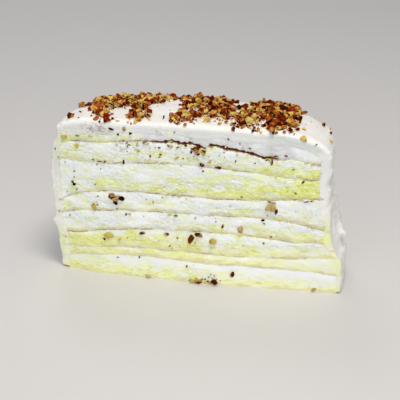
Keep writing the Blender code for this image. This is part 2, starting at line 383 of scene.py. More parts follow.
# %% [markdown]
# ## Biscuits and cream
#
# Sponge and cream have no sharp border on the upper side of a biscuit, because the cream has soaked in and the knife
# has smeared it. The underside is different: it was the browned base in the baking tin, and it shows as a thin
# brown skin with a groove along it. Under the top biscuit it has come away, and the groove is an open dark crack.
# Each point of a layer carries the values that the material reads later: how yellow it is (sponge), how brown (skin,
# baked), how torn, which also sets painted shade in the crumb, and where it's in the crack (dark, the painted shade of
# the gap), smeared with icing (smear) or stained by nuts (stain).

# %% How yellow each layer is at the left, in the middle and at the right
SPONGE = {
    "biscuit_1": (0.75, 0.30, 0.05),
    "cream_1": (0.46, 0.08, 0.40),
    "biscuit_2": (0.40, 0.46, 1.05),
    "cream_2": (0.10, 0.18, 0.75),
    "biscuit_3": (0.42, 0.58, 1.10),
    "cream_3": (0.20, 0.10, 0.05),
    "biscuit_4": (0.45, 0.42, 0.55),
    "cream_4": (0.24, 0.06, 0.35),
    "biscuit_5": (0.50, 0.38, 1.00),
    "cream_5": (0.70, 0.50, 0.30),
    "biscuit_6": (0.99, 0.73, 0.50),
    "cream_6": (0.70, 0.58, 0.52),
    "biscuit_7": (0.80, 0.68, 0.62),
    "cream_7": (0.50, 0.10, 0.08),
    "biscuit_8": (0.88, 0.65, 0.66),
}
ABOVE_ALL = (0.3, 0.1, 0.0)  # the same for what lies on the top biscuit
# How strong the browned skin under each biscuit is, at the left, in the middle and at the right
SKIN = {
    "biscuit_1": (0.85, 1.0, 0.7),
    "biscuit_2": (0.85, 0.8, 0.8),
    "biscuit_3": (1.0, 0.9, 0.9),
    "biscuit_4": (0.95, 0.75, 0.45),
    "biscuit_5": (0.95, 0.75, 0.4),
    "biscuit_6": (0.15, 0.5, 0.5),
    "biscuit_7": (0.1, 0.35, 0.35),
    "biscuit_8": (0.0, 0.0, 0.0),
}
print("colours for", len(SPONGE), "layers and", len(SKIN), "skins")

# %% The skin, the crack and the stains
FINE, APART = 0.36, 0.02  # distance between points on the cut, and half the gap between two layers
SKIN_THICK, BAKED = 0.65, 2.3  # how far the brown skin and the pale baked crumb above it reach up
BAKED_THROUGH = {6: 0.2}  # the number of a biscuit that's a little darker all through
SMEARED_FROM = 6  # the first biscuit, from the top, whose groove the knife smeared nearly shut
CRACK = (-31.0, 51.0)  # the open crack under the top biscuit, from left to right
BRIDGE_AT, BRIDGE_WIDE = 9.3, 1.2  # a bridge of cream across the crack
CRACK_DEEP, GROOVE_DEEP, VALLEY_DEEP = 1.2, 0.22, 0.25
STAINS = (  # where crushed nut has coloured the cream: the middle, the reach and the strength
    (-56, 85.0, 4.0, 1.3),
    (-49, 86.3, 4.0, 1.5),
    (-18, 86, 2.6, 0.8),
    (-1, 83.5, 2.6, 0.9),
    (19, 82.5, 2.4, 0.7),
    (31, 79.5, 2.6, 0.8),
    (46, 79, 2.2, 0.9),
    (4, 76, 5.0, 0.5),
    (-42, 78, 2.6, 1.0),
    (-39, 75.5, 2.0, 0.9),
    (-28, 78, 3.5, 0.8),
    (44, 48, 4.5, 0.35),
    (-46, 23, 4.0, 0.35),
    (4, 27, 5.0, 0.4),
    (5, -1.5, 7.0, 0.9),
    (-71, 14, 5.0, 0.45),
)


def along(left, middle, right, u):
    """A value that is given at the left end, the middle and the right end."""
    return middle + 0.5 * (right - left) * u + (0.5 * (right + left) - middle) * u * u


def stain(x, z):
    """How much the cream is stained at each place."""
    total = sum(w * bump(np.hypot(x - a, z - b), 0, reach) for a, b, reach, w in STAINS)
    return total * smooth(0.5 + 1.5 * unevenness(x / 1.6, 0, z / 1.2, seed=9))


def crack_here(x):
    """1 along the open crack, with a bridge of cream across it."""
    return smooth((x - CRACK[0]) / 17) * smooth((CRACK[1] - x) / 4) * (1 - bump(x, BRIDGE_AT, BRIDGE_WIDE))


# %% The values on the cut of a layer
def cut_values(name, u, z, above_low, below_high):
    """The values on the cut of a layer, and how far it falls back along the skins."""
    x, number, is_biscuit = HALF_CUT * u, int(name[-1]), name.startswith("biscuit")
    wobble = unevenness(x / 6, 0, z / 2.5, seed=5, octaves=2)
    share = above_low / (above_low + below_high)
    distance = above_low if is_biscuit else below_high
    above, below = (f"cream_{number - 1}", name) if is_biscuit else (name, f"biscuit_{number + 1}")
    border = 0.5 * (along(*SPONGE.get(above, ABOVE_ALL), u) + along(*SPONGE[below], u))
    share = share + 1.6 * wobble * share * (1 - share)
    own = along(*SPONGE[name], u)
    if is_biscuit:
        sponge = own + (border - own) * smooth((share - 0.3) / 0.7)
    else:
        sponge = border + (0.7 * own - border) * smooth(share / 0.7)
    sponge = sponge + 0.2 * wobble
    open_here = smooth(0.55 + 1.5 * unevenness(x / 9, 0, 4.1 * number, seed=8))
    edge = unevenness(x / 3.5, 0, 3.3 * number, seed=6, octaves=2)
    in_crack = (number == 1) * crack_here(x)
    width = np.clip(0.5 + 1.2 * unevenness(x / 3, 0, 0, seed=10, octaves=2), 0.22, 1.15)
    thick = SKIN_THICK * (1 + 0.8 * edge) * (1 if is_biscuit else 0.45)
    there = smooth(0.64 + 1.9 * unevenness(x / 8, 0, 3.7 * number, seed=7))
    skin = along(*SKIN[f"biscuit_{number}"], u) * smooth((thick - distance) / 0.3) * np.maximum(there, in_crack)
    # dark paints the open crack: its brown skin with the painted shade of the gap.
    dark = in_crack * smooth((width * (1.0 if is_biscuit else 0.6) - distance + 0.1) / 0.3)
    skin = np.maximum(skin, 0.9 * in_crack * smooth((width + 0.3 + 0.5 * edge - distance) / 0.4))
    smear = (number == 1) * is_biscuit * smooth((x + 38) / 18 + 0.5 * wobble) * smooth((64 - x) / 8 + 0.4 * wobble)
    # Towards the right the smear is stronger, which paints it in deeper grey shade there.
    smear = smear * (1 + 0.3 * smooth((x - 35) / 15))
    baked = smooth((BAKED * (1 + 0.7 * wobble) - distance) / 1.2) * (0.5 + 0.5 * there)
    values = {
        "sponge": np.clip(sponge * (1 - 0.8 * smear), 0, 1.2),
        "skin": np.maximum(skin, dark),
        "dark": dark,
        "baked": is_biscuit * np.maximum(BAKED_THROUGH.get(number, 0.0), baked),
        "smear": smear,
        "stain": np.clip(stain(x, z), 0, 1),
        # torn grows higher up the cut, and with it the painted shade of the crumb
        "torn": np.clip(crumbliness(x, z) * (0.75 + 0.45 * smooth((z - 35) / 25)), 0, 1),
    }
    if number == len(BISCUITS):
        return values, 0.0 * x
    firm = 0.45 - 0.35 * smooth((5 - x) / 30) if number >= SMEARED_FROM else 1.0
    fallen = firm * (GROOVE_DEEP * open_here * bump(distance, 0, 0.5) + VALLEY_DEEP * bump(distance, 0, 1.6))
    return values, fallen + CRACK_DEEP * in_crack * bump(distance, 0, 0.8 * width)


# %% A layer as a closed mesh
UPPER_ROWS, LOWER_ROWS = (0, 0.3, 0.6, 0.85, 1), (0, 0.5, 1)  # of the hidden sheets, from the cut to the round side
CRACK_BOUNDARY = 2 * len(BISCUITS) - 2


def gap(name, u, side):
    """Opens a layer's boundary a hair, and the crack under the top biscuit by more."""
    if (name, side) in (("biscuit_1", "low"), ("cream_1", "high")):
        return APART + 0.16 * crack_here(HALF_CUT * u)
    return APART


def hidden_sheet(column, boundary, shares, shift):
    """The surface between two layers, from the cut to the round side."""
    u, v = plan_point(column, np.array(shares, float)[:, None])
    height = boundary_heights(u, v)[boundary] + shift
    return place(u, v, height, side_icing(u, height))


def layer_piece(name, order):
    """A biscuit or a layer of cream as a fine closed mesh. order counts the boundaries from the plate up."""
    u = np.linspace(1.0, -1.0, round((LEFT + RIGHT) / FINE))
    column = np.arccos(u) / math.pi
    heights = boundary_heights(u, 0.0 * u)
    low, high = heights[order] + (gap(name, u, "low") if order else 0.0), heights[order + 1] - gap(name, u, "high")
    rows = max(5, round(float(np.mean(high - low)) / FINE))
    up = np.linspace(0.0, 1.0, rows)[:, None]
    z = low + (high - low) * up
    across = np.broadcast_to(u, z.shape)
    front = place(across, 0.0, z, side_icing(across, z))
    values, fallen = cut_values(name, across, z, z - low, high - z)
    front[..., 1] += fallen - cut_relief(front[..., 0], z)
    shell = Shell()
    shell.add_sheet(front, **values)
    sheets = ((-1, order + 1, UPPER_ROWS, -APART), (0, order, LOWER_ROWS, APART if order else 0.0))
    rims = []
    for edge, boundary, share_rows, shift in sheets:
        sheet = hidden_sheet(column, boundary, share_rows, shift)
        sheet[0] = front[edge]
        rims.append(sheet[-1])
        in_crack = crack_here(HALF_CUT * u) * (boundary == CRACK_BOUNDARY)
        # The crack's hidden walls get skin and dark as well: painted shade inside the gap.
        shell.add_sheet(sheet, sponge=0.5, skin=in_crack, dark=in_crack)
    shell.add_sheet(np.stack(rims), sponge=0.5)
    return shell.make(name + "_crumb" if name.startswith("biscuit") else name + "_smear")


# %% Make the fifteen layers
layers = {}
for order in range(2 * len(BISCUITS) - 1):
    number = len(BISCUITS) - order // 2
    node = f"biscuit_{number}" if order % 2 == 0 else f"cream_{number - 1}"
    layers[node] = layer_piece(node, order)

# %% [markdown]
# ## The icing
#
# One skin of soft icing is spread with a spatula over the top, the ends and the back. It could be a Solidify modifier
# on a sheet, but its thickness changes from end to end, so an outer and an inner skin are made from the same plan. The
# outer skin is one grid that runs back over the top and down the side. Where the knife came through, the edge is
# soft: it turns over in a quarter round on to the cut.

# %% The two skins of the icing
ICING_COLUMNS, ROUND_SIDE = 460, 284  # how many columns, and how many millimetres the side is long
FROM_CUT = np.concatenate([[0, 0.35, 0.7, 1.1, 1.5, 2.0, 2.6, 3.3, 4.1], np.linspace(5.0, DEPTH, 64)]) / DEPTH
DOWN_SIDE = np.linspace(1, 0, 84)[1:]
INNER_ROWS = (0, 0.3, 0.58, 0.78, 0.92, 1.0)  # the inner skin's rows over the top, from the cut to the round side
HEAPED = ((-0.9, 0.25, 2.5), (0.9, 0.16, 0.9))  # where the shoulders are heaped: u, how wide and how high


def full_shoulder(u, v):
    """The icing is heaped a little higher on the shoulders near the cut than on the plain model."""
    return sum(high * bump(u, at, wide) for at, wide, high in HEAPED) * (1 - smooth((v - 0.25) / 0.45))


def outer_skin(column):
    """Plan places and points of the outer skin, over the top and down the side, before any relief."""
    u, v = plan_point(column, FROM_CUT[:, None])
    height = icing_height(u, v) + full_shoulder(u, v)
    top = place(u, v, height)
    height = ICING_FOOT + (height[-1] - ICING_FOOT) * DOWN_SIDE[:, None]
    side = place(u[-1], v[-1], height, -swipe(v[-1], u[-1], height))
    u, v = (np.concatenate([w, np.repeat(w[-1:], len(DOWN_SIDE), 0)]) for w in (u, v))
    return u, v, np.concatenate([top, side])


def inner_skin(column):
    """The inner skin, with one row at each boundary between layers on the side."""
    u, v = plan_point(column, np.array(INNER_ROWS)[:, None])
    top_height = boundary_heights(u, v)[-1]
    height = np.maximum(ICING_FOOT, np.stack(boundary_heights(u[-1], v[-1])[-2::-1]))
    top = place(u, v, top_height, side_icing(u, top_height))
    return np.concatenate([top, place(u[-1], v[-1], height, side_icing(u[-1], height))])


def cut_path(skin):
    """The edge of the outer skin along the cut, from the left foot over the top to the right foot."""
    tops = len(FROM_CUT)
    return np.concatenate([skin[tops:, -1][::-1], skin[0, ::-1], skin[tops:, 0]])


def inner_path(column):
    """The inner edge of the icing's cut, point for point beside the outer one."""
    u = np.cos(math.pi * column)[::-1]
    height = inner_height(u, 0 * u)
    parts = [place(u, 0, height, side_icing(u, height))]
    for end in (-1.0, 1.0):
        rim = float(inner_height(np.array(end), np.array(0.0)))
        height = ICING_FOOT + (rim - ICING_FOOT) * DOWN_SIDE
        parts.append(place(end, 0, height, side_icing(end, height)))
    return np.concatenate([parts[1][::-1], parts[0], parts[2]])


# %% [markdown]
# The spatula leaves long level strokes on the ends and the back, each with a small ridge where it ends, and broad
# soft swells on top. On the right end the icing was put on thickest, and it stands in folds with a few drawn-out
# peaks.

# %% Relief of the icing
STROKE_HIGH, STROKE_RIDGE, STROKE_SLOPE = 11.5, 0.8, 0.95  # how far apart, the ridge, and the slope between
LEFT_SWELL, LEFT_BELLY, SHOULDER_REACH = 1.6, 1.2, 28
PEAKS = (  # which end (1 right, -1 left, 0 back), along it from the cut or the middle, height, how far out, how wide
    (1, 11.5, 31.0, 4.2, 1.9),
    (1, 14.5, 34.5, 1.6, 2.6),
    (1, 9.5, 57.5, 1.5, 1.3),
    (1, 30.0, 22.0, 2.0, 2.4),
    (1, 38.0, 50.0, 1.4, 2.2),
    (-1, 5.0, 28.5, 3.4, 2.1),
    (-1, 33.0, 44.0, 1.3, 2.3),
    (0, -30.0, 30.0, 1.6, 2.4),
    (0, 22.0, 55.0, 1.3, 2.0),
    (0, 44.0, 20.0, 1.8, 2.6),
)


def outward(u, v):
    """Direction straight out of the skin, and how far the shoulder has turned over: 0 on top and 1 on the side."""
    x = np.sign(u) * np.abs(u) ** (SQUARENESS - 1) / RIGHT
    y = v ** (SQUARENESS - 1) / DEPTH
    length = np.hypot(x, y) + 1e-12
    over = np.clip((radius_share(u, v) - SHOULDER_START) / (1 - SHOULDER_START), 0, 1)
    drop = by_side(u, SHOULDER_DROP["left"], SHOULDER_DROP["right"], SHOULDER_DROP["back"])
    level, upright = drop * over / SHOULDER_REACH, np.sqrt(np.maximum(0, 1 - over**2))
    size = np.hypot(level, upright)
    return np.stack([x / length * level / size, y / length * level / size, upright / size], -1), over


def strokes(along_side, z):
    """Level spatula strokes: each slopes a little and ends in a ridge."""
    band = z / STROKE_HIGH + 0.9 * unevenness(along_side / 48, z / 30, 0, seed=21)
    share = band - np.floor(band)
    strength = 0.6 + 0.9 * unevenness(along_side / 22, np.floor(band) * 1.7, 0, seed=22)
    ridge = STROKE_RIDGE * strength * np.exp(-((share / 0.09) ** 2))
    slope = STROKE_SLOPE * (share - 0.5) * smooth((1 - share) / 0.1)
    return ridge + slope + 0.2 * unevenness(along_side / 7, z / 2, 0, seed=23, octaves=2)


def folds(points, u):
    """Thick folds low on the right end, towards the back."""
    y, z = points[..., 1], points[..., 2]
    here = smooth((u - 0.8) / 0.15) * smooth((y - 2) / 7) * smooth((48 - y) / 18)
    here = here * smooth((z - 8) / 14) * smooth((62 - z) / 16)
    fold = 1 - 2.2 * np.abs(unevenness(y / 7 + z / 25, z / 18, 0, seed=24))
    return here * (1.4 * fold + 0.25 * unevenness(y / 4, z / 5, 0, seed=25))


def icing_relief(points, u, column, over):
    """How far the skin stands out at each point, in millimetres."""
    x, y, z = np.moveaxis(points, -1, 0)
    swells = 0.45 * unevenness(x / 15, y / 11, 0, seed=26) + 0.24 * unevenness(x / 5.5, y / 4.5, 0, seed=27, octaves=2)
    side = strokes(ROUND_SIDE * np.broadcast_to(column, x.shape), z) * (1 + 0.9 * smooth((y - 12) / 30))
    left = (u < -0.7) * smooth((50 - y) / 30)
    swollen = LEFT_SWELL * smooth((80 - z) / 8) + LEFT_BELLY * bump(z, 56, 13)
    side = side * (1 + 0.6 * left * smooth((y - 8) / 14)) + left * swollen
    relief = swells * (1 - over**2) + (side + folds(points, u)) * over**2
    for end, along_end, height, out, wide in PEAKS:
        on_end = np.abs(u - end) < 0.3 if end else (y > 0.7 * DEPTH)
        distance = np.hypot((y if end else x) - along_end, (z - height) * 1.15)
        relief = relief + np.where(on_end, out * np.exp(-((distance / wide) ** 1.3)) * (over > 0.9), 0)
    return relief


# %% The values on the icing
def end_colour(x, z):
    """How yellow the layers are at the left or the right end, at each height."""
    yellow = 0
    for end in (-1.0, 1.0):
        heights = [float(height) for height in boundary_heights(np.array(end), np.array(0.0))]
        middles = [(low + high) / 2 for low, high in zip(heights, heights[1:])]
        yellow = yellow + (x * end > 0) * np.interp(z, middles, [along(*SPONGE[node], end) for node in layers])
    return yellow


def end_lines(x, z):
    """The skins under the biscuits, where they run on over the icing's thin edge."""
    lines = 0
    for end in (-1.0, 1.0):
        for layer in range(1, len(BISCUITS) - 1):
            low = float(underside(layer, np.array(end), np.array(0.0)))
            strength = SKIN[f"biscuit_{layer + 1}"][int(end) + 1]
            lines = np.maximum(lines, (x * end > 0) * strength * bump(z, low + 0.3, 0.45))
    return lines * smooth(0.5 + 1.6 * unevenness(x / 2.5, 0, z / 2.5, seed=34))


def rubbed_values(x, z, u, over, distance):
    """The values beside the cut, where crumb is rubbed on to the thin icing of the ends."""
    reach = np.where(u < 0, 2.0, 2.0 * smooth((46 - z) / 12)) + 1.6 * unevenness(x / 5, 0, z / 4, seed=35, octaves=2)
    rubbed = (over > 0.9) * smooth((reach - distance) / 1.2) * smooth((82 - z) / 6)
    sponge = np.where(u < 0, 0.55, 0.8) * rubbed * end_colour(x, z)
    # cut here gives the rubbed places a little of the painted grey shade of the cut.
    return {"cut": 0.3 * rubbed, "sponge": sponge, "skin": rubbed * end_lines(x, z)}


def edge_values(x, z, across):
    """The values on the icing's cut edge, from 0 at its outer side to 1 at the layers."""
    right = smooth((x - 35) / 15)
    painted_shade_strength = 1 + 0.25 * right - 0.8 * smooth((x - 66) / 4) * smooth((83 - z) / 6)
    border = np.where(x < 0, -0.3, -0.3 + smooth((z - 42) / 14))
    border = border + 0.35 * unevenness(x / 5, 0, z / 3.5, seed=33, octaves=2)
    through = smooth((across - border) / 0.12) * smooth((84 - z) / 6)
    dragged = 0.45 * smooth((unevenness(x / 5, 0, z / 2, seed=36) - 0.12) / 0.25) * smooth((12 - x) / 25)
    dragged = dragged * smooth((across - 0.3) / 0.2) * smooth((z - 78) / 3)
    sponge = np.where(x < 0, 0.5, 0.9 - 0.9 * smooth((z - 42) / 8)) * through * end_colour(x, z)
    return {
        # cut is the strength of the painted grey shade on the cut face: deeper to the right, fainter low down and on
        # the right end's strip.
        "cut": smooth(across * (2.2 + 1.5 * right)) * (1 - 0.75 * smooth((66 - z) / 20)) * painted_shade_strength,
        "sponge": sponge + dragged,
        "skin": through * end_lines(x, z),
        "stain": np.clip(stain(x, z), 0, 1) * smooth(across * 5),
    }


# %% Make the icing
EDGE_STEPS = 9  # rows of points across the cut edge
EDGE_ROUND = (2.8, 4.6)  # the least and the greatest rounding of the icing's cut edge
FLAP = 1.6  # how far smeared icing reaches over the layers, at most
FLAP_AT, FLAP_OUT = np.array([0.2, 0.6, 1.0]), np.array([0.12, 0.16, 0.1])  # its rows, and how far they stand out
TUCK = 1.2  # how far the flap's end is tucked in behind the cut


def cut_edge(edge, plain_edge, inner_edge, inward, thick, rounding):
    """The cut edge, from the outer skin round the turn to the flap. Gives its points and shares of the way."""
    across = np.linspace(0, 1, EDGE_STEPS)[:, None]
    deep = across * thick
    angle = math.pi / 4 * np.clip(1 - deep / rounding, 0, 1)
    down = np.where(deep < rounding, rounding * (1 - np.sin(angle)), deep)
    strip = plain_edge + inward * down[..., None]
    strip[..., 1] += np.where(deep < rounding, rounding * (1 - np.cos(angle)), 0)
    strip += (edge - strip[0]) * ((1 - across) ** 2)[..., None]
    x, z = strip[..., 0], strip[..., 2]
    lip = 0.2 * np.exp(-(((across - 0.3) / 0.22) ** 2)) * smooth((x - 8) / 30) * (z > 60)
    torn = 0.3 * smooth(across / 0.3) + 0.7 * smooth((across - 0.5) / 0.5)
    strip[..., 1] -= cut_relief(x, z) * torn + lip * (across > 0)
    x, z = edge[:, 0], edge[:, 2]
    over_layers = FLAP * smooth(0.5 + 1.2 * unevenness(x / 11, z / 9, 0, seed=32, octaves=2)) + 0.5
    over_layers *= 1 - 0.75 * smooth((x - 60) / 5) * smooth((z - 45) / 5) * smooth((84 - z) / 6)
    flaps = inner_edge + inward * over_layers[:, None] * FLAP_AT[:, None, None]
    flaps[..., 1] -= cut_relief(flaps[..., 0], flaps[..., 2]) + FLAP_OUT[:, None]
    return np.concatenate([strip[:-1], flaps]), np.concatenate([across[:-1], [[0.95], [1.0], [1.0]]])


def icing_piece():
    """The icing as one closed mesh: outer skin, cut edge, tucked flap and inner skin."""
    column = np.linspace(0, 1, ICING_COLUMNS)
    tops, across_top = len(FROM_CUT), slice(len(DOWN_SIDE), len(DOWN_SIDE) + ICING_COLUMNS)
    u, v, outer = outer_skin(column)
    plain_edge, inner_edge = cut_path(outer), inner_path(column)
    inward = inner_edge - plain_edge
    thick = np.linalg.norm(inward, axis=-1)
    inward /= thick[:, None]
    wave = 0.5 + 0.9 * unevenness(plain_edge[:, 0] / 14, 0, plain_edge[:, 2] / 14, seed=31)
    rounding = np.minimum(EDGE_ROUND[0] + (EDGE_ROUND[1] - EDGE_ROUND[0]) * np.clip(wave, 0, 1), 0.82 * thick)
    left, top, right = slice(0, len(DOWN_SIDE)), across_top, slice(across_top.stop, None)

    def spread(values):
        """Gives each point of the outer skin the value of the nearest point on the cut's edge."""
        over_top = np.repeat(values[top][::-1][None], tops, 0)
        on_right = np.repeat(values[right][:, None], ICING_COLUMNS // 2, 1)
        on_left = np.repeat(values[left][::-1][:, None], ICING_COLUMNS - ICING_COLUMNS // 2, 1)
        return np.concatenate([over_top, np.concatenate([on_right, on_left], 1)])

    radius, distance = spread(rounding), v * DEPTH
    angle = math.pi / 4 * (1 + np.clip(distance / radius, 0, 1))
    near = distance < radius
    outer += spread(inward) * (radius * (1 - np.sin(angle)) * near)[..., None]
    outer[..., 1] += np.where(near, radius * (1 - np.cos(angle)) - distance, 0)
    direction, over = outward(u, v)
    over[tops:] = 1.0
    outer += direction * icing_relief(outer, u, column, over)[..., None]
    outer[..., 2] = np.maximum(outer[..., 2], ICING_FOOT)

    shell = Shell()
    shell.add_sheet(outer, **rubbed_values(outer[..., 0], outer[..., 2], u, over, distance))
    strip, across = cut_edge(cut_path(outer), plain_edge, inner_edge, inward, thick, rounding)
    shell.add_sheet(strip, **edge_values(strip[..., 0], strip[..., 2], across))
    tucked = inner_edge + np.array([0, TUCK, 0])
    shell.add_sheet(np.stack([strip[-1], tucked]), cut=1.0)

    inner = inner_skin(column)
    inner[0] = tucked[top][::-1]
    shell.add_sheet(inner, cut=1.0)
    shell.add_sheet(np.stack([outer[-1], inner[-1]]), cut=1.0)
    on_side = inner[len(INNER_ROWS) - 1:]
    for fine, coarse in ((tucked[left][::-1], on_side[:, -1]), (tucked[right], on_side[:, 0])):
        fine_numbers = shell.add_points(fine, cut=1.0)
        coarse_numbers = shell.add_points(coarse, cut=1.0)
        shell.zip_up(fine_numbers.tolist(), coarse_numbers.tolist())
    return shell.make("icing_skin")


icing = icing_piece()

# %% [markdown]
# ## Chopped nuts
#
# Chopped nuts break into chunks with flat facets. Where a facet still has its brown husk it is dark, and where it
# broke it is golden. A convex hull round a dozen scattered points gives such a chunk with only a few dozen faces. A
# few different chunks are enough, because Geometry Nodes turns, scales and shades each copy differently.

# %% Chunks of nut
def chunk(name, draw, corners, size=(1.0, 1.0, 1.0), husk=0.5):
    """A faceted chunk about 1 across. husk is the share of its faces that have brown husk."""
    work = bmesh.new()
    for _ in range(corners):
        way = Vector([draw.gauss(0, 1) for _ in range(3)]).normalized() * draw.uniform(0.4, 0.52)
        work.verts.new([w * s for w, s in zip(way, size)])
    hull = bmesh.ops.convex_hull(work, input=work.verts)
    bmesh.ops.delete(work, geom=list({*hull["geom_interior"], *hull["geom_unused"]}), context="VERTS")
    bmesh.ops.recalc_face_normals(work, faces=work.faces)
    mesh = bpy.data.meshes.new(name)
    work.to_mesh(mesh)
    work.free()
    way = Vector([draw.gauss(0, 1) for _ in range(3)]).normalized()
    on_husk = [float(face.normal.dot(way) > 1 - 2 * husk) for face in mesh.polygons]
    store(mesh, "husk", on_husk, "FACE")
    return mesh


def chunk_set(name, seed, count, corners, flat, husks):
    """A collection of different chunks for the scatter to pick from."""
    draw = random.Random(seed)
    found = bpy.data.collections.new(name)
    for number in range(count):
        size = (1.0, draw.uniform(0.65, 1.0), draw.uniform(*flat))
        mesh = chunk(f"{name}_{number}", draw, draw.randint(*corners), size, draw.choice(husks))
        found.objects.link(bpy.data.objects.new(mesh.name, mesh))
    return found


# %% How thickly the nuts lie
NUT_CLUMPS = (  # the middle in plan, the reach across and back, and the weight, which is negative for a bare patch
    (-73, 30, 4, 14, -1.0),
    (-61, 9, 4.5, 6, -1.0),
    (-55, 20, 7, 10, 1.0),
    (-48, 7, 4.5, 7, 0.9),
    (-41.5, 15, 4, 8, -0.9),
    (-30.5, 14, 6, 12, 1.0),
    (-19, 30, 6.5, 24, -1.4),
    (-8.5, 10, 6, 9, 1.0),
    (8, 20, 14, 9, 0.9),
    (26, 8, 7, 8, 0.9),
    (43, 10, 7, 12, 1.0),
    (38, 26, 10, 8, 1.0),
    (19.5, 53, 8, 14, -1.5),
    (53, 18, 4.5, 11, 0.8),
    (60, 45, 7, 26, -1.3),
    (68, 20, 9, 34, -1.2),
    (70, 44, 10, 22, -1.2),
)
DARK_AND_SHADED_HEAPS = (  # heaps of darker nuts with painted shade among them, given in the same way
    (43, 12, 7, 9, 1.2),
    (-34, 20, 6, 13, 0.6),
    (10, 38, 10, 8, 0.35),
    (-56, 22, 6, 9, 0.3),
)
LOWEST_NUT, LOWEST_STRAY = 62, 70  # heights


def heaped(x, y, heaps):
    """How much the heaps of a list add at each place."""
    return sum(weight * bump(x, a, wide) * bump(y, b, far) for a, b, wide, far, weight in heaps)


def nut_share(x, y):
    """From 0 to 1 for each place in plan: a band along the crown and back, with clumps and bare patches."""
    share = 0.95 * smooth((y - 20) / 20) + heaped(x, y, NUT_CLUMPS)
    radius = radius_share(x / np.where(x > 0, RIGHT, LEFT), np.maximum(y, 0) / DEPTH)
    return np.clip(share, 0, 1) * smooth((0.99 - radius) / 0.06)


print("how thickly they lie 20 mm behind the middle of the cut:", nut_share(np.array(0.0), np.array(20.0)).round(2))

# %% A carrier for the scatter
def nut_carrier():
    """A copy of the icing that knows how thickly nuts lie and how likely a stray crumb is."""
    carrier = put("nut_carrier", icing.data.copy())
    points = np.empty(3 * len(carrier.data.vertices))
    carrier.data.vertices.foreach_get("co", points)
    x, y, z = np.moveaxis(points.reshape(-1, 3) / MM - SHIFT, -1, 0)
    cut = np.empty(len(x))
    carrier.data.attributes["cut"].data.foreach_get("value", cut)
    here = (z > LOWEST_NUT) * (cut == 0)
    share = nut_share(x, y) * here
    patchy = smooth(0.55 + 1.4 * unevenness(x / 6, y / 6, 0, seed=41))
    stray = np.clip(4 * share, 0, 1) * 0.7 + 0.16 * (z > LOWEST_STRAY) * (x < 66)
    store(carrier.data, "thick", share * (0.6 + 0.4 * patchy))
    store(carrier.data, "stray", stray * here)
    # deep darkens the nuts of the dark heaps: darker nuts with painted shade among them.
    store(carrier.data, "deep", heaped(x, y, DARK_AND_SHADED_HEAPS))
    return carrier


# %% [markdown]
# ## The scatter
#
# One node tree places every kind of bit. A loop could copy the chunks one by one, but a tree with named inputs serves
# nuts and crumbs alike. It spreads points with a least distance over the faces, lifts each a little along the
# surface's normal, puts a random chunk there, and gives each copy its own shade. The tree ends in Realize Instances
# and Set Material, and the result is turned into a plain mesh.

# %% A value that can be reckoned with
MIX_FACTOR, MIX_ONE, MIX_OTHER, MIX_RESULT = 0, 6, 7, 2  # the colour sockets of a Mix node


class Value:
    """A node's output that can be reckoned with: each +, - or * adds a Math node to its tree."""

    def __init__(self, socket):
        self.socket, self.tree = socket, socket.id_data

    def __add__(self, other):
        return maths("ADD", self, other)

    def __sub__(self, other):
        return maths("SUBTRACT", self, other)

    def __rsub__(self, other):
        return maths("SUBTRACT", other, self)

    def __mul__(self, other):
        return maths("MULTIPLY", self, other)

    def fade(self, low, high, low_to=0.0, high_to=1.0):
        """A smooth step between two values."""
        values = {"Value": self, "From Min": low, "From Max": high, "To Min": low_to, "To Max": high_to}
        return value_of(self.tree, "ShaderNodeMapRange", values, interpolation_type="SMOOTHSTEP")

    def mix(self, one, other, blend_type="MIX"):
        """Two colours mixed by this value. A colour is a node's output or three numbers."""
        one, other = (colour if isinstance(colour, Value) else (*colour, 1) for colour in (one, other))
        inputs = {MIX_FACTOR: self, MIX_ONE: one, MIX_OTHER: other}
        return value_of(self.tree, "ShaderNodeMix", inputs, MIX_RESULT, data_type="RGBA", blend_type=blend_type)


# %% Nodes, and groups with named sockets
def set_input(socket, value):
    """Links an input to another node's output, or gives it a plain value."""
    if isinstance(value, Value):
        value.tree.links.new(value.socket, socket)
    else:
        socket.default_value = value


def make_node(tree, kind, inputs=None, **settings):
    """Adds a node. Its inputs are given by name or number."""
    made = tree.nodes.new(kind)
    for key, value in settings.items():
        setattr(made, key, value)
    for key, value in (inputs or {}).items():
        set_input(made.inputs[key], value)
    return made


def value_of(tree, kind, inputs=None, output=0, **settings):
    """Adds a node and gives back one of its outputs."""
    return Value(make_node(tree, kind, inputs, **settings).outputs[output])


def maths(operation, one, other):
    """A Math node. One of the two may be a plain number."""
    tree = (one if isinstance(one, Value) else other).tree
    return value_of(tree, "ShaderNodeMath", {0: one, 1: other}, operation=operation)


def node_group(kind, name, inputs, outputs):
    """A node group with named sockets, and the values that it is given."""
    tree = bpy.data.node_groups.new(name, kind)
    for in_out, sockets in (("INPUT", inputs), ("OUTPUT", outputs)):
        for label, socket in sockets.items():
            tree.interface.new_socket(label, in_out=in_out, socket_type=f"NodeSocket{socket}")
    given = make_node(tree, "NodeGroupInput").outputs
    return tree, {label: Value(given[label]) for label in inputs}


# %% Build the scatter tree
SCATTER_INPUTS = {
    "Geometry": "Geometry",
    "Chunks": "Collection",
    "Share": "String",  # the attribute that tells how thickly they lie
    **dict.fromkeys(("Distance", "Density", "Smallest", "Largest", "Sunk", "Lift"), "Float"),
    **dict.fromkeys(("Tilt", "Lightest", "Darkest"), "Float"),
    "Seed": "Int",
    "Material": "Material",
}
MOSTLY_SMALL = 1.6  # the power that makes small chunks commoner than large ones
HEAP_START, HEAP_FULL = 0.55, 0.95  # how thickly they lie where heaps start, and where heaps are full height


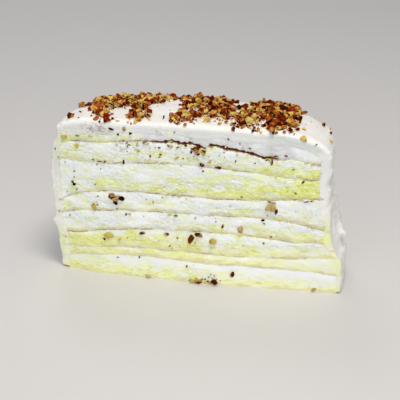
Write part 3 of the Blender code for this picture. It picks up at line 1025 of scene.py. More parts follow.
def scatter_tree():
    """Geometry in, chunks on it out."""
    tree, given = node_group("GeometryNodeTree", "Scatter chunks", SCATTER_INPUTS, {"Geometry": "Geometry"})

    def named(name):
        """The carrier's attribute of this name."""
        return value_of(tree, "GeometryNodeInputNamedAttribute", {"Name": name}, "Attribute", data_type="FLOAT")

    def chance(kind, least, most, number):
        """A random value for each chunk. number is the seed of this draw."""
        made = make_node(tree, "FunctionNodeRandomValue", data_type=kind)
        values = {"Min": least, "Max": most, "ID": value_of(tree, "GeometryNodeInputIndex"), "Seed": number}
        for socket in made.inputs:
            if socket.enabled and socket.name in values:
                set_input(socket, values[socket.name])
        return Value(next(out for out in made.outputs if out.enabled))

    def scaled(vector, times):
        """A vector times a number."""
        return value_of(tree, "ShaderNodeVectorMath", {0: vector, "Scale": times}, operation="SCALE")

    share = named(given["Share"])
    density = {"Distance Min": given["Distance"], "Density Max": given["Density"], "Density Factor": share}
    spread = make_node(
        tree,
        "GeometryNodeDistributePointsOnFaces",
        {"Mesh": given["Geometry"], **density, "Seed": given["Seed"]},
        distribute_method="POISSON",
    )
    points, normal, rotation = (Value(spread.outputs[name]) for name in ("Points", "Normal", "Rotation"))
    small = maths("POWER", chance("FLOAT", 0.0, 1.0, 1), MOSTLY_SMALL)
    size = given["Smallest"] + small * (given["Largest"] - given["Smallest"])
    heap = value_of(tree, "ShaderNodeMapRange", {"Value": share, "From Min": HEAP_START, "From Max": HEAP_FULL})
    rise = chance("FLOAT", 0.0, 1.0, 2) * given["Lift"] * heap - size * given["Sunk"]
    moved = value_of(tree, "GeometryNodeSetPosition", {"Geometry": points, "Offset": scaled(normal, rise)})
    tilt = value_of(tree, "ShaderNodeCombineXYZ", {0: given["Tilt"], 1: given["Tilt"], 2: math.pi})
    turn = value_of(tree, "FunctionNodeEulerToRotation", {0: chance("FLOAT_VECTOR", scaled(tilt, -1.0), tilt, 3)})
    turned = value_of(tree, "FunctionNodeRotateRotation", {0: rotation, 1: turn}, rotation_space="LOCAL")
    whole = {"Collection": given["Chunks"], "Separate Children": True, "Reset Children": True}
    picked = {"Instance": value_of(tree, "GeometryNodeCollectionInfo", whole), "Pick Instance": True}
    placed = {"Points": moved, "Instance Index": chance("INT", 0, 99, 4), "Rotation": turned, "Scale": size}
    stood = value_of(tree, "GeometryNodeInstanceOnPoints", {**picked, **placed})
    # Each copy's shade, with the carrier's deep value added: darker nuts and painted shade in the dark heaps.
    shade = {"Name": "shade", "Value": chance("FLOAT", given["Lightest"], given["Darkest"], 5) + named("deep")}
    of_instance = {"data_type": "FLOAT", "domain": "INSTANCE"}
    shaded = value_of(tree, "GeometryNodeStoreNamedAttribute", {"Geometry": stood, **shade}, **of_instance)
    plain = value_of(tree, "GeometryNodeRealizeInstances", {"Geometry": shaded})
    painted = value_of(tree, "GeometryNodeSetMaterial", {"Geometry": plain, "Material": given["Material"]})
    make_node(tree, "NodeGroupOutput", {0: painted})
    return tree


scatter = scatter_tree()
print(len(scatter.nodes), "nodes in the scatter tree")


# %% Run the scatter
def scattered(name, carrier, material, **sizes):
    """Runs the scatter on the carrier and gives back a plain mesh object. Sizes are in millimetres."""
    modifier = carrier.modifiers.new("scatter", "NODES")
    modifier.node_group = scatter
    sizes = {"Material": material, "Tilt": 0.9, "Lightest": 0.0, "Darkest": 1.0, **sizes}
    for length in ("Distance", "Smallest", "Largest", "Lift"):
        sizes[length] *= MM
    for socket in scatter.interface.items_tree:
        if socket.in_out == "INPUT" and socket.name in sizes:
            modifier[socket.identifier] = sizes[socket.name]
    carrier.update_tag()
    graph = bpy.context.evaluated_depsgraph_get()
    mesh = bpy.data.meshes.new_from_object(carrier.evaluated_get(graph))
    carrier.modifiers.remove(modifier)
    mesh.name = name
    print(f"{name}: {len(mesh.polygons)} faces")
    return put(name, mesh)


# %% [markdown]
# ## Finishes
#
# The finishes share three effects, so each effect is a node group that is built once: torn crumb, which turns the
# values on the cut into colour and fine relief; soft mottling for icing; and broken nut. Colours could be painted on,
# but noise in the piece's own coordinates has no seams and is as fine as the view needs.

# %% Helpers for shader groups
def effect_group(name, colours, amounts):
    """A group that turns colours and amounts into a colour, a height and a roughness."""
    inputs = {**dict.fromkeys(colours, "Color"), **dict.fromkeys(amounts, "Float")}
    return node_group("ShaderNodeTree", name, inputs, {"Color": "Color", "Height": "Float", "Roughness": "Float"})


def give_back(tree, colour, height, roughness):
    """Ends an effect with its three outputs, and gives back the group."""
    make_node(tree, "NodeGroupOutput", {"Color": colour, "Height": height, "Roughness": roughness})
    return tree


def stained(colour, given, shreds):
    """The colour with the stain of crushed nut in it, in shreds."""
    return (given["Stained"] * shreds.fade(0.38, 0.6, 0.1, 0.9)).mix(colour, given["Stain"])


def coordinates(tree, *stretch):
    """The piece's own place in metres, stretched in x, y and z."""
    at = value_of(tree, "ShaderNodeTexCoord", output="Object")
    return value_of(tree, "ShaderNodeMapping", {"Vector": at, "Scale": stretch or (1, 1, 1)})


def noise_value(at, per_metre, detail, roughness=0.5):
    """Noise from 0 to 1, mostly near a half."""
    values = {"Vector": at, "Scale": per_metre, "Detail": detail, "Roughness": roughness}
    return value_of(at.tree, "ShaderNodeTexNoise", values)


# %% Torn crumb
PAINTED_SHADE_IN_CRUMB = (0.86, 0.89, 0.88)


def torn_crumb():
    """Colour, height and roughness of the cut: white cream and yellow sponge in patches, with brown skin, and painted
    shade in torn crumb, pits, smears and the crack.
    """
    tree, given = effect_group(
        "Torn crumb",
        ("Cream", "Sponge", "Baked", "Pits", "Skin", "Skin thin", "Crack", "Stain", "Smear"),
        ("Yellow", "Torn", "Pale baked", "Browned", "Cracked", "Smeared", "Stained"),
    )
    at = coordinates(tree, 0.7, 1, 1.9)
    patches, shreds = noise_value(at, 200, 2.0), noise_value(at, 780, 3.0, 0.7)
    grain = noise_value(coordinates(tree), 1300, 3.0, 0.6)
    holes = value_of(tree, "ShaderNodeTexVoronoi", {"Vector": at, "Scale": 560.0}, "Distance")
    rough = (1.0 - given["Smeared"]) * given["Torn"].fade(0.0, 0.8)
    finer = (shreds - 0.5) * 1.7 * rough.fade(0.0, 1.0, 0.3, 1.0)
    broad = (patches - 0.5) * 2.3 * rough.fade(0.0, 0.6, 0.35, 1.0)
    yellow = (given["Yellow"] + (broad + finer)).fade(0.0, 1.0)
    olive = noise_value(at, 420, 2.0, 0.6).fade(0.48, 0.7, 0.0, 0.5)
    colour = yellow.mix(given["Cream"], olive.mix(given["Sponge"], given["Pits"]))
    colour = (given["Pale baked"] * shreds.fade(0.3, 0.55, 0.45, 1.0)).mix(colour, given["Baked"])
    # Torn crumb is multiplied darker, the more so the more it is torn: painted shade of its crevices.
    colour = rough.fade(0.0, 1.0, 0.0, 0.55).mix(colour, PAINTED_SHADE_IN_CRUMB, "MULTIPLY")
    # Low places of the fine relief take the pit colour: painted shade in the pits.
    pit_shade = (grain * 0.5 + shreds * 0.5).fade(0.48, 0.36) * rough * yellow.fade(0.0, 1.0, 0.4, 0.8)
    colour = pit_shade.mix(colour, given["Pits"])
    # Smeared icing takes its grey: painted shade.
    colour = (given["Smeared"] * patches.fade(0.35, 0.6, 0.5, 0.9)).mix(colour, given["Smear"])
    colour = stained(colour, given, shreds)
    skin = shreds.fade(0.45, 0.66).mix(given["Skin thin"], given["Skin"])
    colour = (given["Browned"] * grain.fade(0.3, 0.5, 0.55, 1.0)).mix(colour, skin)
    # The open crack: brown skin and the painted shade of the gap.
    colour = given["Cracked"].mix(colour, given["Crack"])
    pores = holes.fade(0.05, 0.5) * yellow.fade(0.0, 1.0, 0.15, 0.5)
    height = (grain + shreds * 0.9 + pores) * rough.fade(0.0, 1.0, 0.3, 1.0)
    return give_back(tree, colour, height, (given["Smeared"] + grain * 0.3).fade(1.2, 0.0, 0.42, 0.8))


# %% Soft mottling
PAINTED_SHADE_OF_CUT = (0.92, 0.935, 0.92)


def soft_mottling():
    """Faint patches of two whites, painted grey shade on the cut face, with yellow crumb and nut stain rubbed into the
    cut, and fine drag as height.
    """
    colours, amounts = ("White", "Cooler", "Sponge", "Skin", "Stain"), ("Cut", "Yellow", "Browned", "Stained")
    tree, given = effect_group("Soft mottling", colours, amounts)
    patches = noise_value(coordinates(tree, 1, 1, 1.6), 70, 3.0, 0.55)
    drag = noise_value(coordinates(tree, 0.5, 0.5, 3.0), 420, 3.0, 0.55)
    shreds = noise_value(coordinates(tree, 1, 1, 2), 480, 3.0, 0.65)
    fine = noise_value(coordinates(tree), 900, 2.0)
    # The cut face is painted cooler and greyer for the shade it stands in; elsewhere faint patches are a cooler white.
    cooler_and_shade = patches.fade(0.35, 0.68, 0.0, 0.22) + given["Cut"] * 0.8
    colour = cooler_and_shade.mix(given["White"], given["Cooler"])
    # Where the cut value passes 1, the grey is painted deeper still: more painted shade.
    colour = given["Cut"].fade(0.95, 1.25).mix(colour, PAINTED_SHADE_OF_CUT, "MULTIPLY")
    yellow = (given["Yellow"] + (shreds - 0.5) * 1.3).fade(0.0, 0.9)
    colour = (yellow * maths("GREATER_THAN", given["Yellow"], 0.01)).mix(colour, given["Sponge"])
    colour = given["Browned"].mix(colour, given["Skin"])
    colour = stained(colour, given, shreds)
    height = drag * 0.8 + fine * 0.35 + shreds * given["Cut"] * 0.8
    return give_back(tree, colour, height, patches.fade(0.3, 0.7, 0.36, 0.5))


# %% Broken nut
def broken_nut():
    """Golden broken faces with painted glints, and brown husk, with a shade of its own for each chunk."""
    colours, amounts = ("Broken", "Pale", "Olive", "Deep", "Husk", "Dark husk"), ("On husk", "Shade")
    tree, given = effect_group("Broken nut", colours, amounts)
    at = coordinates(tree)
    blotches = noise_value(at, 700, 3.0, 0.6)
    streaks = noise_value(coordinates(tree, 1, 1, 3), 1600, 2.0, 0.6)
    shade = given["Shade"] + (noise_value(at, 60, 2.0) - 0.5) * 1.6
    greener = noise_value(at, 190, 1.0) - given["Shade"] * 0.25
    pale = greener.fade(0.38, 0.54).mix(given["Pale"], given["Olive"])
    # Pale streaks on the flesh: fresh breaks with painted glints.
    pale = streaks.fade(0.5, 0.66, 0.0, 0.75).mix(pale, given["Broken"])
    flesh = (shade + (blotches - 0.5) * 2.2).fade(0.1, 1.0).mix(pale, given["Deep"])
    husk = ((streaks - 0.5) * 2.0 + shade).fade(0.3, 1.0).mix(given["Husk"], given["Dark husk"])
    edge = (given["On husk"] + (blotches - 0.5) * 2.6).fade(0.35, 0.65)
    colour, height = edge.mix(flesh, husk), blotches + streaks
    return give_back(tree, colour, height, streaks.fade(0.3, 0.7, 0.4, 0.65))


# %% A material made from a group
CRUMB, MOTTLING, NUT = torn_crumb(), soft_mottling(), broken_nut()


def material(name, group, colours, values, bump_high, specular=0.35):
    """A Principled material whose colour, height and roughness come from the group."""
    made = bpy.data.materials.new(name)
    made.use_nodes = True
    tree = made.node_tree
    inputs = {key: (*colour, 1) for key, colour in colours.items()}
    for key, value in values.items():
        if isinstance(value, str):
            value = value_of(tree, "ShaderNodeAttribute", output="Fac", attribute_name=value)
        inputs[key] = value
    effect = make_node(tree, "ShaderNodeGroup", inputs, node_tree=group)
    colour, height, roughness = map(Value, effect.outputs)
    relief = value_of(tree, "ShaderNodeBump", {"Height": height, "Distance": bump_high * MM})
    surface = {"Base Color": colour, "Roughness": roughness, "Normal": relief, "Specular IOR Level": specular}
    for key, value in surface.items():
        set_input(tree.nodes["Principled BSDF"].inputs[key], value)
    return made


# %% The colours, and the attributes that the effects read
CUT_COLOURS = {
    "Cream": (0.915, 0.94, 0.955),
    "Sponge": (0.89, 0.93, 0.33),
    "Baked": (0.78, 0.71, 0.46),
    # olive flecks, and painted shade in the pits of torn crumb
    "Pits": (0.44, 0.47, 0.09),
    "Skin": (0.19, 0.085, 0.02),
    "Skin thin": (0.40, 0.30, 0.10),
    # brown skin inside the open crack, darkened by the painted shade of the gap
    "Crack": (0.24, 0.032, 0.008),
    "Stain": (0.38, 0.30, 0.27),
    # icing smeared on the cut, painted grey for the shade it lies in
    "Smear": (0.69, 0.70, 0.71),
}
IN_CREAM = {**CUT_COLOURS, "Pits": (0.60, 0.62, 0.34)}
CUT_VALUES = {"Yellow": "sponge", "Browned": "skin", "Stained": "stain"}  # for the cut and for the icing
LAYER_VALUES = {**CUT_VALUES, "Torn": "torn", "Pale baked": "baked", "Cracked": "dark", "Smeared": "smear"}
ICING_COLOURS = {
    "White": (0.91, 0.895, 0.86),
    # a cooler white in faint patches, and the painted grey shade of the icing's cut face
    "Cooler": (0.71, 0.725, 0.72),
    "Sponge": CUT_COLOURS["Sponge"],
    "Skin": CUT_COLOURS["Skin thin"],
    "Stain": CUT_COLOURS["Stain"],
}
NUT_COLOURS = {
    # pale fresh breaks with painted glints
    "Broken": (0.92, 0.78, 0.50),
    "Pale": (0.70, 0.42, 0.06),
    "Olive": (0.63, 0.47, 0.06),
    "Deep": (0.40, 0.095, 0.013),
    "Husk": (0.22, 0.018, 0.001),
    "Dark husk": (0.02, 0.001, 0.0004),
}
SOAKED_COLOURS = {
    "Broken": (0.62, 0.50, 0.24),
    "Pale": (0.54, 0.38, 0.15),
    "Olive": (0.53, 0.43, 0.09),
    "Deep": (0.27, 0.10, 0.02),
    "Husk": (0.15, 0.025, 0.004),
    "Dark husk": NUT_COLOURS["Dark husk"],
}
NUT_VALUES = {"On husk": "husk", "Shade": "shade"}

# %% The six finishes
sponge_finish = material("soaked_sponge", CRUMB, CUT_COLOURS, LAYER_VALUES, bump_high=0.17, specular=0.12)
cream_finish = material("smeared_cream", CRUMB, IN_CREAM, LAYER_VALUES, bump_high=0.13, specular=0.12)
crumb_finish = material("loose_crumb", CRUMB, CUT_COLOURS, {"Yellow": "shade", "Torn": 1.0}, bump_high=0.15)
icing_finish = material("whipped_icing", MOTTLING, ICING_COLOURS, {**CUT_VALUES, "Cut": "cut"}, bump_high=0.24)
nut_finish = material("chopped_nut", NUT, NUT_COLOURS, NUT_VALUES, bump_high=0.12, specular=0.02)
soaked_nut_finish = material("soaked_nut", NUT, SOAKED_COLOURS, NUT_VALUES, bump_high=0.12, specular=0.02)
print("materials, with those of the plain model:", sorted(made.name for made in bpy.data.materials))

# %% [markdown]
# ## Nuts on the icing
#
# Three sizes of bit lie on the icing: chunks up to 6 mm, which pile up in the clumps, smaller chips between them, and
# fine crumbs that stray over the white. The chips are darker, as what lies low in a heap is in its shade.

# %% Scatter the nuts
chunks = chunk_set("chunk", seed=5, count=16, corners=(9, 14), flat=(0.45, 0.9), husks=(0.0, 0.05, 0.15, 0.3, 0.7))
# Chips have more husk than chunks, so they're darker: painted shade low in a heap.
chips = chunk_set("chip", seed=15, count=12, corners=(9, 13), flat=(0.45, 0.9), husks=(0.05, 0.3, 0.6, 1.0))
fine_chunks = chunk_set("crumb", seed=6, count=8, corners=(8, 10), flat=(0.5, 0.9), husks=(0.0, 0.4, 1.0))
carrier = nut_carrier()
NUT_SIZES = {  # in millimetres, but Density is in points per square metre, and Sunk is a share of the chunk's size
    "nut_chunks": dict(
        Chunks=chunks, Share="thick", Distance=2.0, Density=700000.0, Smallest=2.3, Largest=6.6,
        Sunk=-0.26, Lift=1.1, Seed=3, Lightest=-0.2, Darkest=1.0,
    ),
    "nut_chips": dict(
        # The chips' darker range of shades is painted shade low in a heap.
        Chunks=chips, Share="thick", Distance=1.2, Density=900000.0, Smallest=1.5, Largest=4.2,
        Sunk=-0.1, Lift=1.5, Seed=8, Lightest=0.1, Darkest=1.4,
    ),
    "nut_crumbs": dict(
        Chunks=fine_chunks, Share="stray", Distance=1.4, Density=110000.0, Smallest=0.5, Largest=1.9,
        Sunk=-0.1, Lift=0.0, Seed=5, Lightest=-0.2, Darkest=1.2,
    ),
}
nuts = [scattered(name, carrier, nut_finish, **sizes) for name, sizes in NUT_SIZES.items()]

# %% [markdown]
# ## Bits with a place of their own
#
# The chunks that stand out in the photograph are placed one by one, on the icing and in the cut. The cream has chopped
# nuts in it too: the knife cut through some, dragged others along, and left specks. A ray finds the surface for each
# bit, and it is sunk in so far that it would stay put.

# %% Where they are and of what kind they are
KINDS = {  # share of brown husk, and shade
    "black": (1.0, 1.3),
    "dark": (0.8, 0.75),
    "red": (0.75, 0.25),
    "gold": (0.15, -0.15),
    "brown": (0.6, 0.5),
    "tan": (0.0, 0.15),
    "olive": (0.05, -0.5),
}
# The place in plan, half the size, and the kind
ON_TOP = """
-68 8 2 dark; -64 15 0.9 red; -56 30 1.5 dark; -57 22 1.5 red; -57 50 2.8 gold; -61 44 1.3 olive; -50 47 2.2 olive
-47 7 1.6 red; -46 2 1.6 red; -43 3 1.1 dark; -40 2 0.9 olive; -45 27 1.3 dark; -38 29 1.8 dark; -35 18 2.2 dark
-32 25 1.9 gold; -35 8 1.9 olive; -31 10 1.3 red; -25 10 1.2 red; -24 5 1.1 gold; -17 11 0.8 black; -30 35 1.1 black
-23 48 1.7 olive; -13 18 0.7 dark; -12 10 1.5 tan; -9 9 1.6 gold; -7 18 2.2 gold; 1 3 0.7 red; -3 2 0.4 black
-7 2 1.1 tan; -1 48 1.8 olive; 5 52 2.1 red; 10 44 1.5 gold; 6 28 1.7 dark; 2 16 1.7 red; 16 51 1.6 dark
20 36 1.6 olive; 23 30 1.7 olive; 19 20 2.1 olive; 25 16 1.3 red; 15 25 1.4 red; 21 6 1.2 red; 25 8 1 red
28 32 1.9 red; 31 44 1.8 red; 33 59 1.9 gold; 41 49 2 olive; 44 53 1.3 tan; 49 42 1.6 dark; 51 40 1.8 gold
37 21 2.1 gold; 45 33 1.8 red; 44 23 2.1 dark; 48 23 1.5 red; 42 14 2.3 dark; 46 10 2 dark; 40 30 1.8 red
32 19 1 black; 30 11 1.3 olive; 33 10 1.1 tan; 34 8 0.8 red; 31 2 1.1 olive; 33 3 0.5 black; 35 3 0.8 red; 37 1 1 tan
40 4 1.3 olive; 42 3 1 tan; 44 4 1.5 olive; 51 5 1.5 red; 53 16 1.5 olive; 54 8 0.8 olive; 58 11 1.2 olive
54 2 0.8 red; 59 1 1.9 gold; 55 45 1.4 dark; 52 43 1.4 gold; 66 35 1.2 red; 71 27 1 dark; 72 14 1.1 gold; 70 34 0.8 red
66 1 0.6 dark; -24 49 1 red; -29 47 1.6 gold; -36 47 1.9 gold; -42 54 1.6 red; -46 50 1.6 gold; 39 17 2 red
47 17 1.9 red; 36 26 1.7 olive; 44 14 1.6 red; 49 14 1.5 dark; 34 15 1.4 gold; 45 18 2.4 dark; 41 12 2 red
48 13 2.2 dark; 50 19 1.8 red; 38 24 2 dark; 42 26 2.1 red; 47 22 2 red; 44 11 1.7 dark; -34 22 2.2 dark
-36 15 1.9 dark; -33 12 1.8 red; -58 24 1.8 red; -55 19 1.6 gold; -52 24 1.7 dark; -49 14 1.5 red; 8 22 1.9 red
12 24 1.9 gold; 4 21 1.8 gold; -3 15 1.6 gold; 13 18 1.3 olive; 17 24 1.8 dark; 24 22 1.6 olive; 28 22 1.7 red
"""
# The place along the cut and its height, half the width and half the height, and the kind
IN_CUT = """
-66.9 53.3 1.1 0.5 black; -65.6 51.8 1.2 0.6 black; -64.5 49.3 0.6 0.6 black; -65.6 56.2 0.8 0.7 tan
-65.5 59.8 0.6 0.6 red; -66.2 52.6 1.1 0.6 black; -63.1 74.3 1.3 1.4 gold; -70.5 79 1.8 1.1 olive
-69.3 79.8 1.2 0.7 gold; -43.3 85.8 1.4 0.6 black; -36.1 86.3 1 1.2 red; -32.6 84 0.9 1 black; -39.5 83.2 0.6 0.7 red
-75.8 71.7 0.5 0.6 black; -74.2 67.2 0.7 0.9 tan; -47.2 67.1 0.8 0.7 red; -36.9 67.6 0.6 1.3 black
-28.9 74.7 1.1 0.8 red; -22.2 72 0.7 0.8 red; -16.4 73.3 0.8 0.6 red; -12.3 78.3 0.7 0.7 red; -2.6 79.2 0.9 0.8 red
1.3 77 1.5 1.2 gold; 3.3 78 1.5 1.1 brown; 5 76.7 1.6 1.2 gold; 7 77 1.5 1.1 brown; 6.8 75.2 1.3 1 tan
3.4 75.2 1.4 1 brown; 0.2 75.7 1 0.9 dark; 4.8 78.4 0.9 0.6 dark; 10.1 70.9 1.2 0.9 tan; 5.8 68.9 1.6 1 dark
15 67.9 1.5 0.8 red; 13.4 67.8 0.9 0.7 dark; 6.5 65.5 0.7 0.5 red; 43.2 73.6 0.8 2.4 dark; 41.6 75.6 1.6 0.7 dark
45.4 76.4 1.4 0.5 dark; 54.8 70.2 0.8 0.7 tan; 59.5 63.2 1.1 0.9 red; -51.9 46.4 0.8 0.6 dark; -44 47.6 1.9 1.5 dark
-41.6 46.8 3 2.1 brown; -38.6 46.3 1.9 1.3 black; -42.2 44.3 1.1 2.2 black; -54.4 40.3 1.5 2.7 gold
-52.6 41.6 0.9 0.9 brown; -75.3 34.7 0.9 0.9 tan; -69.6 32.8 0.9 0.8 tan; -36.3 37.3 0.7 0.9 red
-34.1 37.5 0.9 0.8 tan; 43.6 50.3 3.4 0.6 brown; 41.9 47.4 2.1 1.8 gold; 44.6 47.2 2 2.1 tan; 46.2 45.6 0.9 1.7 brown
39.2 39.9 1.1 1 black; 17.3 34.6 0.7 1.5 red; 26.8 33.9 1.6 2.5 tan; -46.7 23.7 2.9 1.8 olive; -49.3 21.2 0.8 0.7 black
-40.4 22 0.9 0.7 olive; -27.3 26.7 1.7 0.9 red; -13.8 27.2 1.5 1 red; -7.7 25.7 0.8 0.7 red; -12.1 20.4 0.8 0.6 black
-0.2 25.7 1.7 2.7 red; 4.3 28.2 2.5 1.2 brown; 12.1 25 2.2 2.1 tan; 43.5 30.4 0.7 0.7 red; 40 26.5 0.6 0.6 black
-29.3 12.1 0.7 0.6 black; -2.1 9.5 0.9 0.8 red; 23.3 7.3 1.5 1.6 brown; -24.1 1.2 1.5 0.9 gold; 1.4 1.3 1.8 1 gold
4.6 1.4 2.2 1.2 red; 13.3 2.1 2.1 1.5 dark; 11 1.4 1.2 0.9 red; 67.8 1.4 1.3 0.8 red; -8.6 86.1 0.6 0.5 black
20 84.4 0.6 0.5 black; 31.5 80 0.7 0.6 black; 50.4 77.4 1.1 0.9 dark; 39.8 37.9 0.6 0.5 dark; -70.2 46.9 0.5 0.5 olive
56.1 56.8 0.7 0.5 red; 27.5 52.1 0.9 0.4 dark; -8.5 38.4 1.6 0.4 dark; 2 38.2 1.1 0.4 red; 59 52.6 1.6 0.3 gold
62 52.3 1.7 0.35 red; 64.8 52.9 1.4 0.3 gold; 61.5 73.8 1.8 0.3 tan; 65 73.4 1.7 0.35 gold; 68 73.2 1.4 0.3 tan
64 38.6 1.3 0.35 gold; 66 37.7 1.4 0.35 gold; -12 38.6 1.5 0.3 gold; -50.5 67 1.7 0.3 dark; -47.5 67.2 1.7 0.35 gold
-53.5 67.4 1.3 0.25 dark; -12.5 51 1.9 0.3 gold; -9.2 50.4 1.7 0.3 gold; -6.3 49.8 1.4 0.25 olive
-62 80.4 1.8 0.25 dark; -55 81 1.6 0.25 gold; 8.5 3.2 0.6 0.6 dark; 10.2 4.6 0.5 0.5 dark; 12.2 4 0.6 0.5 black
14.6 3.6 0.5 0.5 red; 11.5 6.2 0.4 0.4 dark; 9.6 2 0.7 0.5 red; 15.5 1.6 0.8 0.6 gold; 6.4 2.7 0.9 0.5 gold
3.2 2.9 1 0.6 gold; -0.4 1.7 0.8 0.5 red; 16.8 3.2 0.4 0.4 dark; 13.2 5.6 0.5 0.4 red; 8 1 0.8 0.5 gold
-21 45.6 0.4 0.9 gold; -37 79.6 0.9 0.3 dark; -35 78.4 0.8 0.3 dark; -33.4 77.4 0.7 0.3 black; -25 79.8 1.2 0.3 dark
-22.8 79 0.9 0.3 dark
"""
BITS_IN_CUT = 200  # those of the table and specks at random places
CRACK_CRUMBS = 75  # more crumbs of nut, under the crack
SIZE = 2.4  # a chunk is about 1 across, and looks smaller for its cut corners
LARGE, LARGE_CORNERS, SMALL_CORNERS = 1.1, 17, 9  # half the size from which a bit is large, and their corners
ABOVE, BEFORE = 120, -30  # where the rays start
STANDS_OUT = 0.45  # of half its size


# %% Turn the tables into meshes
def entries(table):
    """The numbers and the kind of each entry."""
    for entry in table.replace("\n", "; ").strip("; ").split("; "):
        *numbers, kind = entry.split()
        yield [float(number) for number in numbers], kind


print(len(list(entries(ON_TOP))), "bits on the icing and", len(list(entries(IN_CUT))), "in the cut")


def placed_bits(name, found, finish):
    """One mesh of chunks. Each has its middle, its half sizes in x, y and z, its turn and its kind."""
    work, draw = bmesh.new(), random.Random(31)
    shade = work.verts.layers.float.new("shade")
    work.faces.layers.float.new("husk")
    for at, halves, turn, kind in found:
        husk_share, kind_shade = KINDS[kind]
        mesh = chunk("bit", draw, LARGE_CORNERS if max(halves) > LARGE else SMALL_CORNERS, husk=husk_share)
        stretch = Matrix.Diagonal([SIZE * MM * half for half in halves] + [1])
        mesh.transform(Matrix.Translation(at) @ Euler(turn).to_matrix().to_4x4() @ stretch)
        first = len(work.verts)
        work.from_mesh(mesh)
        work.verts.ensure_lookup_table()
        for vertex in work.verts[first:]:
            vertex[shade] = kind_shade + draw.uniform(-0.15, 0.15)
        bpy.data.meshes.remove(mesh)
    data = bpy.data.meshes.new(name)
    work.to_mesh(data)
    work.free()
    data.materials.append(finish)
    print(f"{name}: {len(found)} bits, {len(data.polygons)} faces")
    return put(name, data)


def surface_of(pieces):
    """A function that gives the first place a ray meets, with the normal there."""
    graph = bpy.context.evaluated_depsgraph_get()
    trees = [BVHTree.FromObject(piece, graph) for piece in pieces]

    def meet(start, way):
        """The nearest hit of the ray on all the pieces."""
        hits = [hit for hit in (tree.ray_cast(Vector(start), Vector(way)) for tree in trees) if hit[0]]
        return min(hits, key=lambda hit: hit[3])[:2] if hits else (None, None)

    return meet


# %% Place them
def bits_on_top():
    """The bits on the icing. Each is met by a ray from above."""
    draw, meet, found = random.Random(7), surface_of([icing]), []
    for (x, y, half), kind in entries(ON_TOP):
        at, normal = meet(to_frame((x, y, ABOVE)), (0, 0, -1))
        halves = half * draw.uniform(0.9, 1.1), half * draw.uniform(0.75, 1.0), half * draw.uniform(0.75, 1.0)
        found.append((at + STANDS_OUT * half * MM * normal, halves, [draw.uniform(-0.7, 0.7) for _ in range(3)], kind))
    return placed_bits("nut_pieces", found, nut_finish)


def bits_in_cut():
    """The bits in the cut. Each is met by a ray from the front."""
    draw, meet, found = random.Random(31), surface_of([icing, *layers.values()]), []
    places = [(*numbers, kind) for numbers, kind in entries(IN_CUT)]
    while len(places) < BITS_IN_CUT:
        x, z, size = draw.uniform(-73, 70), draw.uniform(4, 84) ** 0.9 * 84**0.1, draw.uniform(0.15, 0.38)
        if draw.random() < 0.35 + 0.65 * crumbliness(np.array(x), np.array(z)):
            places.append((x, z, size * draw.uniform(1, 1.8), size, draw.choice(("dark", "black", "olive"))))
    for number in range(CRACK_CRUMBS):  # most of them lie to the left and close below the crack
        x = CRACK[0] - 4 + (CRACK[1] - CRACK[0]) * draw.random() ** 1.3
        below, size = 0.5 + 9 * draw.random() ** 2.2, draw.uniform(0.15, 0.5) * (2.0 if number % 5 == 0 else 1.0)
        kind = draw.choice(("red", "gold", "dark", "tan", "olive"))
        line = float(underside(0, x / HALF_CUT, 0.0))
        places.append((x, line - below, size * draw.uniform(1, 1.6), 0.8 * size, kind))
    for x, z, wide, high, kind in places:
        at, _ = meet(to_frame((x, BEFORE, z)), (0, 1, 0))
        deep = 0.5 * min(wide, high) + 0.3
        turn = (0, draw.uniform(-0.4, 0.4), draw.uniform(0, 0.5))
        if at:
            found.append((at + Vector((0, -0.35 * deep * MM, 0)), (wide, deep, high), turn, kind))
    return placed_bits("nut_bits", found, soaked_nut_finish)


nuts.append(bits_on_top())
bits = bits_in_cut()

# %% [markdown]
# Small crumbs of sponge and cream cling to the cut as well. They come from the same scatter tree, over a plain grid
# that follows the cut.

# %% Crumbs that cling to the cut
GRID_ACROSS, GRID_UP = (-72, 72, 130), (2, 84, 80)  # from, to, and how many points


def cut_carrier():
    """A grid over the cut, which knows how torn it is."""
    x, z = np.meshgrid(np.linspace(*GRID_ACROSS), np.linspace(*GRID_UP))
    y = cut_y(x, z) - cut_relief(x, z)
    points = to_frame(np.stack([x, y, z], -1)).reshape(-1, 3)
    number = np.arange(x.size).reshape(x.shape)
    corners = np.stack([number[:-1, :-1], number[:-1, 1:], number[1:, 1:], number[1:, :-1]], -1)
    mesh = bpy.data.meshes.new("cut_carrier")
    mesh.from_pydata(points.tolist(), [], corners.reshape(-1, 4).tolist())
    store(mesh, "torn", np.clip(crumbliness(x, z) - 0.2, 0, 1).ravel())
    return put("cut_carrier", mesh)


soft_chunks = chunk_set("soft", seed=9, count=6, corners=(10, 14), flat=(0.4, 0.8), husks=(0.0,))
cut_grid = cut_carrier()
crumbs = scattered(
    "clinging_crumbs", cut_grid, crumb_finish, Chunks=soft_chunks, Share="torn", Distance=1.5, Density=60000.0,
    Smallest=0.5, Largest=1.7, Sunk=0.12, Lift=0.0, Seed=2, Tilt=0.5,
)
crumbs.data.shade_smooth()
for piece in (carrier, cut_grid, *chunks.objects, *chips.objects, *fine_chunks.objects, *soft_chunks.objects):
    bpy.data.objects.remove(piece)

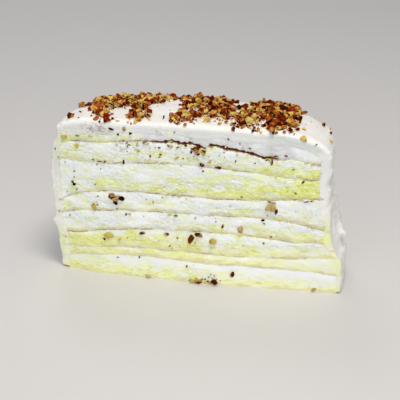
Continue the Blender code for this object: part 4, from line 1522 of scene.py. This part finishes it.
# %% Give each piece its finish and its place
for node, piece in layers.items():
    piece.data.materials.append(sponge_finish if node.startswith("biscuit") else cream_finish)
    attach(piece, "root")
    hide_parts(node)
icing.data.materials.append(icing_finish)
for piece in (icing, *nuts):
    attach(piece, "root")
    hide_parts("icing")
for piece, slot in ((bits, "icing"), (crumbs, "biscuit")):
    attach(piece, "root")

# %% [markdown]
# ## Floor, lights and camera
#
# The cake stands on a plain pale floor. A large soft light above makes the top the brightest part, and a weaker one
# fills the cut.

# %% Floor
floor_mesh = bpy.data.meshes.new("floor")
floor_mesh.from_pydata([(-3, -3, 0), (3, -3, 0), (3, 3, 0), (-3, 3, 0)], [], [(0, 1, 2, 3)])
floor = put("floor", floor_mesh)
floor_finish = bpy.data.materials.new("plain_floor")
floor_finish.use_nodes = True
for socket, value in (("Base Color", (0.685, 0.672, 0.668, 1)), ("Roughness", 0.6)):
    floor_finish.node_tree.nodes["Principled BSDF"].inputs[socket].default_value = value
floor_mesh.materials.append(floor_finish)


# %% Lights
def stand(piece, at, aim):
    """Places a lamp or a camera and turns it to what it looks at."""
    piece.location = at
    piece.rotation_euler = (Vector(aim) - Vector(at)).to_track_quat("-Z", "Y").to_euler()


def soft_light(name, at, size, power, colour):
    """A round soft lamp that shines on the cake."""
    lamp = bpy.data.lights.new(name, "AREA")
    lamp.shape, lamp.size, lamp.energy, lamp.color = "DISK", size, power, colour
    stand(put(name, lamp), at, aim=(0, 0, 0.05))


soft_light("light_above", (0.20, -0.34, 1.0), 0.42, 6.3, (1.0, 0.953, 0.865))
soft_light("light_front", (-0.12, -1.1, 0.20), 0.8, 4.1, (0.97, 0.99, 1.0))
soft_light("light_behind", (-0.5, 1.0, 1.2), 0.6, 3.0, (1.0, 0.98, 0.96))
world = bpy.data.worlds.new("pale_room")
bpy.context.scene.world = world
world.use_nodes = True
for socket, value in (("Color", (0.95, 0.96, 1.0, 1)), ("Strength", 0.36)):
    world.node_tree.nodes["Background"].inputs[socket].default_value = value
bpy.context.scene.view_settings.view_transform = "Standard"

# %% Camera
camera = put("camera", bpy.data.cameras.new("camera"))
camera.data.lens, camera.data.sensor_width = 99.0, 36.0
stand(camera, at=(0.10596, -0.56794, 0.27268), aim=(0.0018, -0.0321, 0.0488))
bpy.context.scene.camera = camera
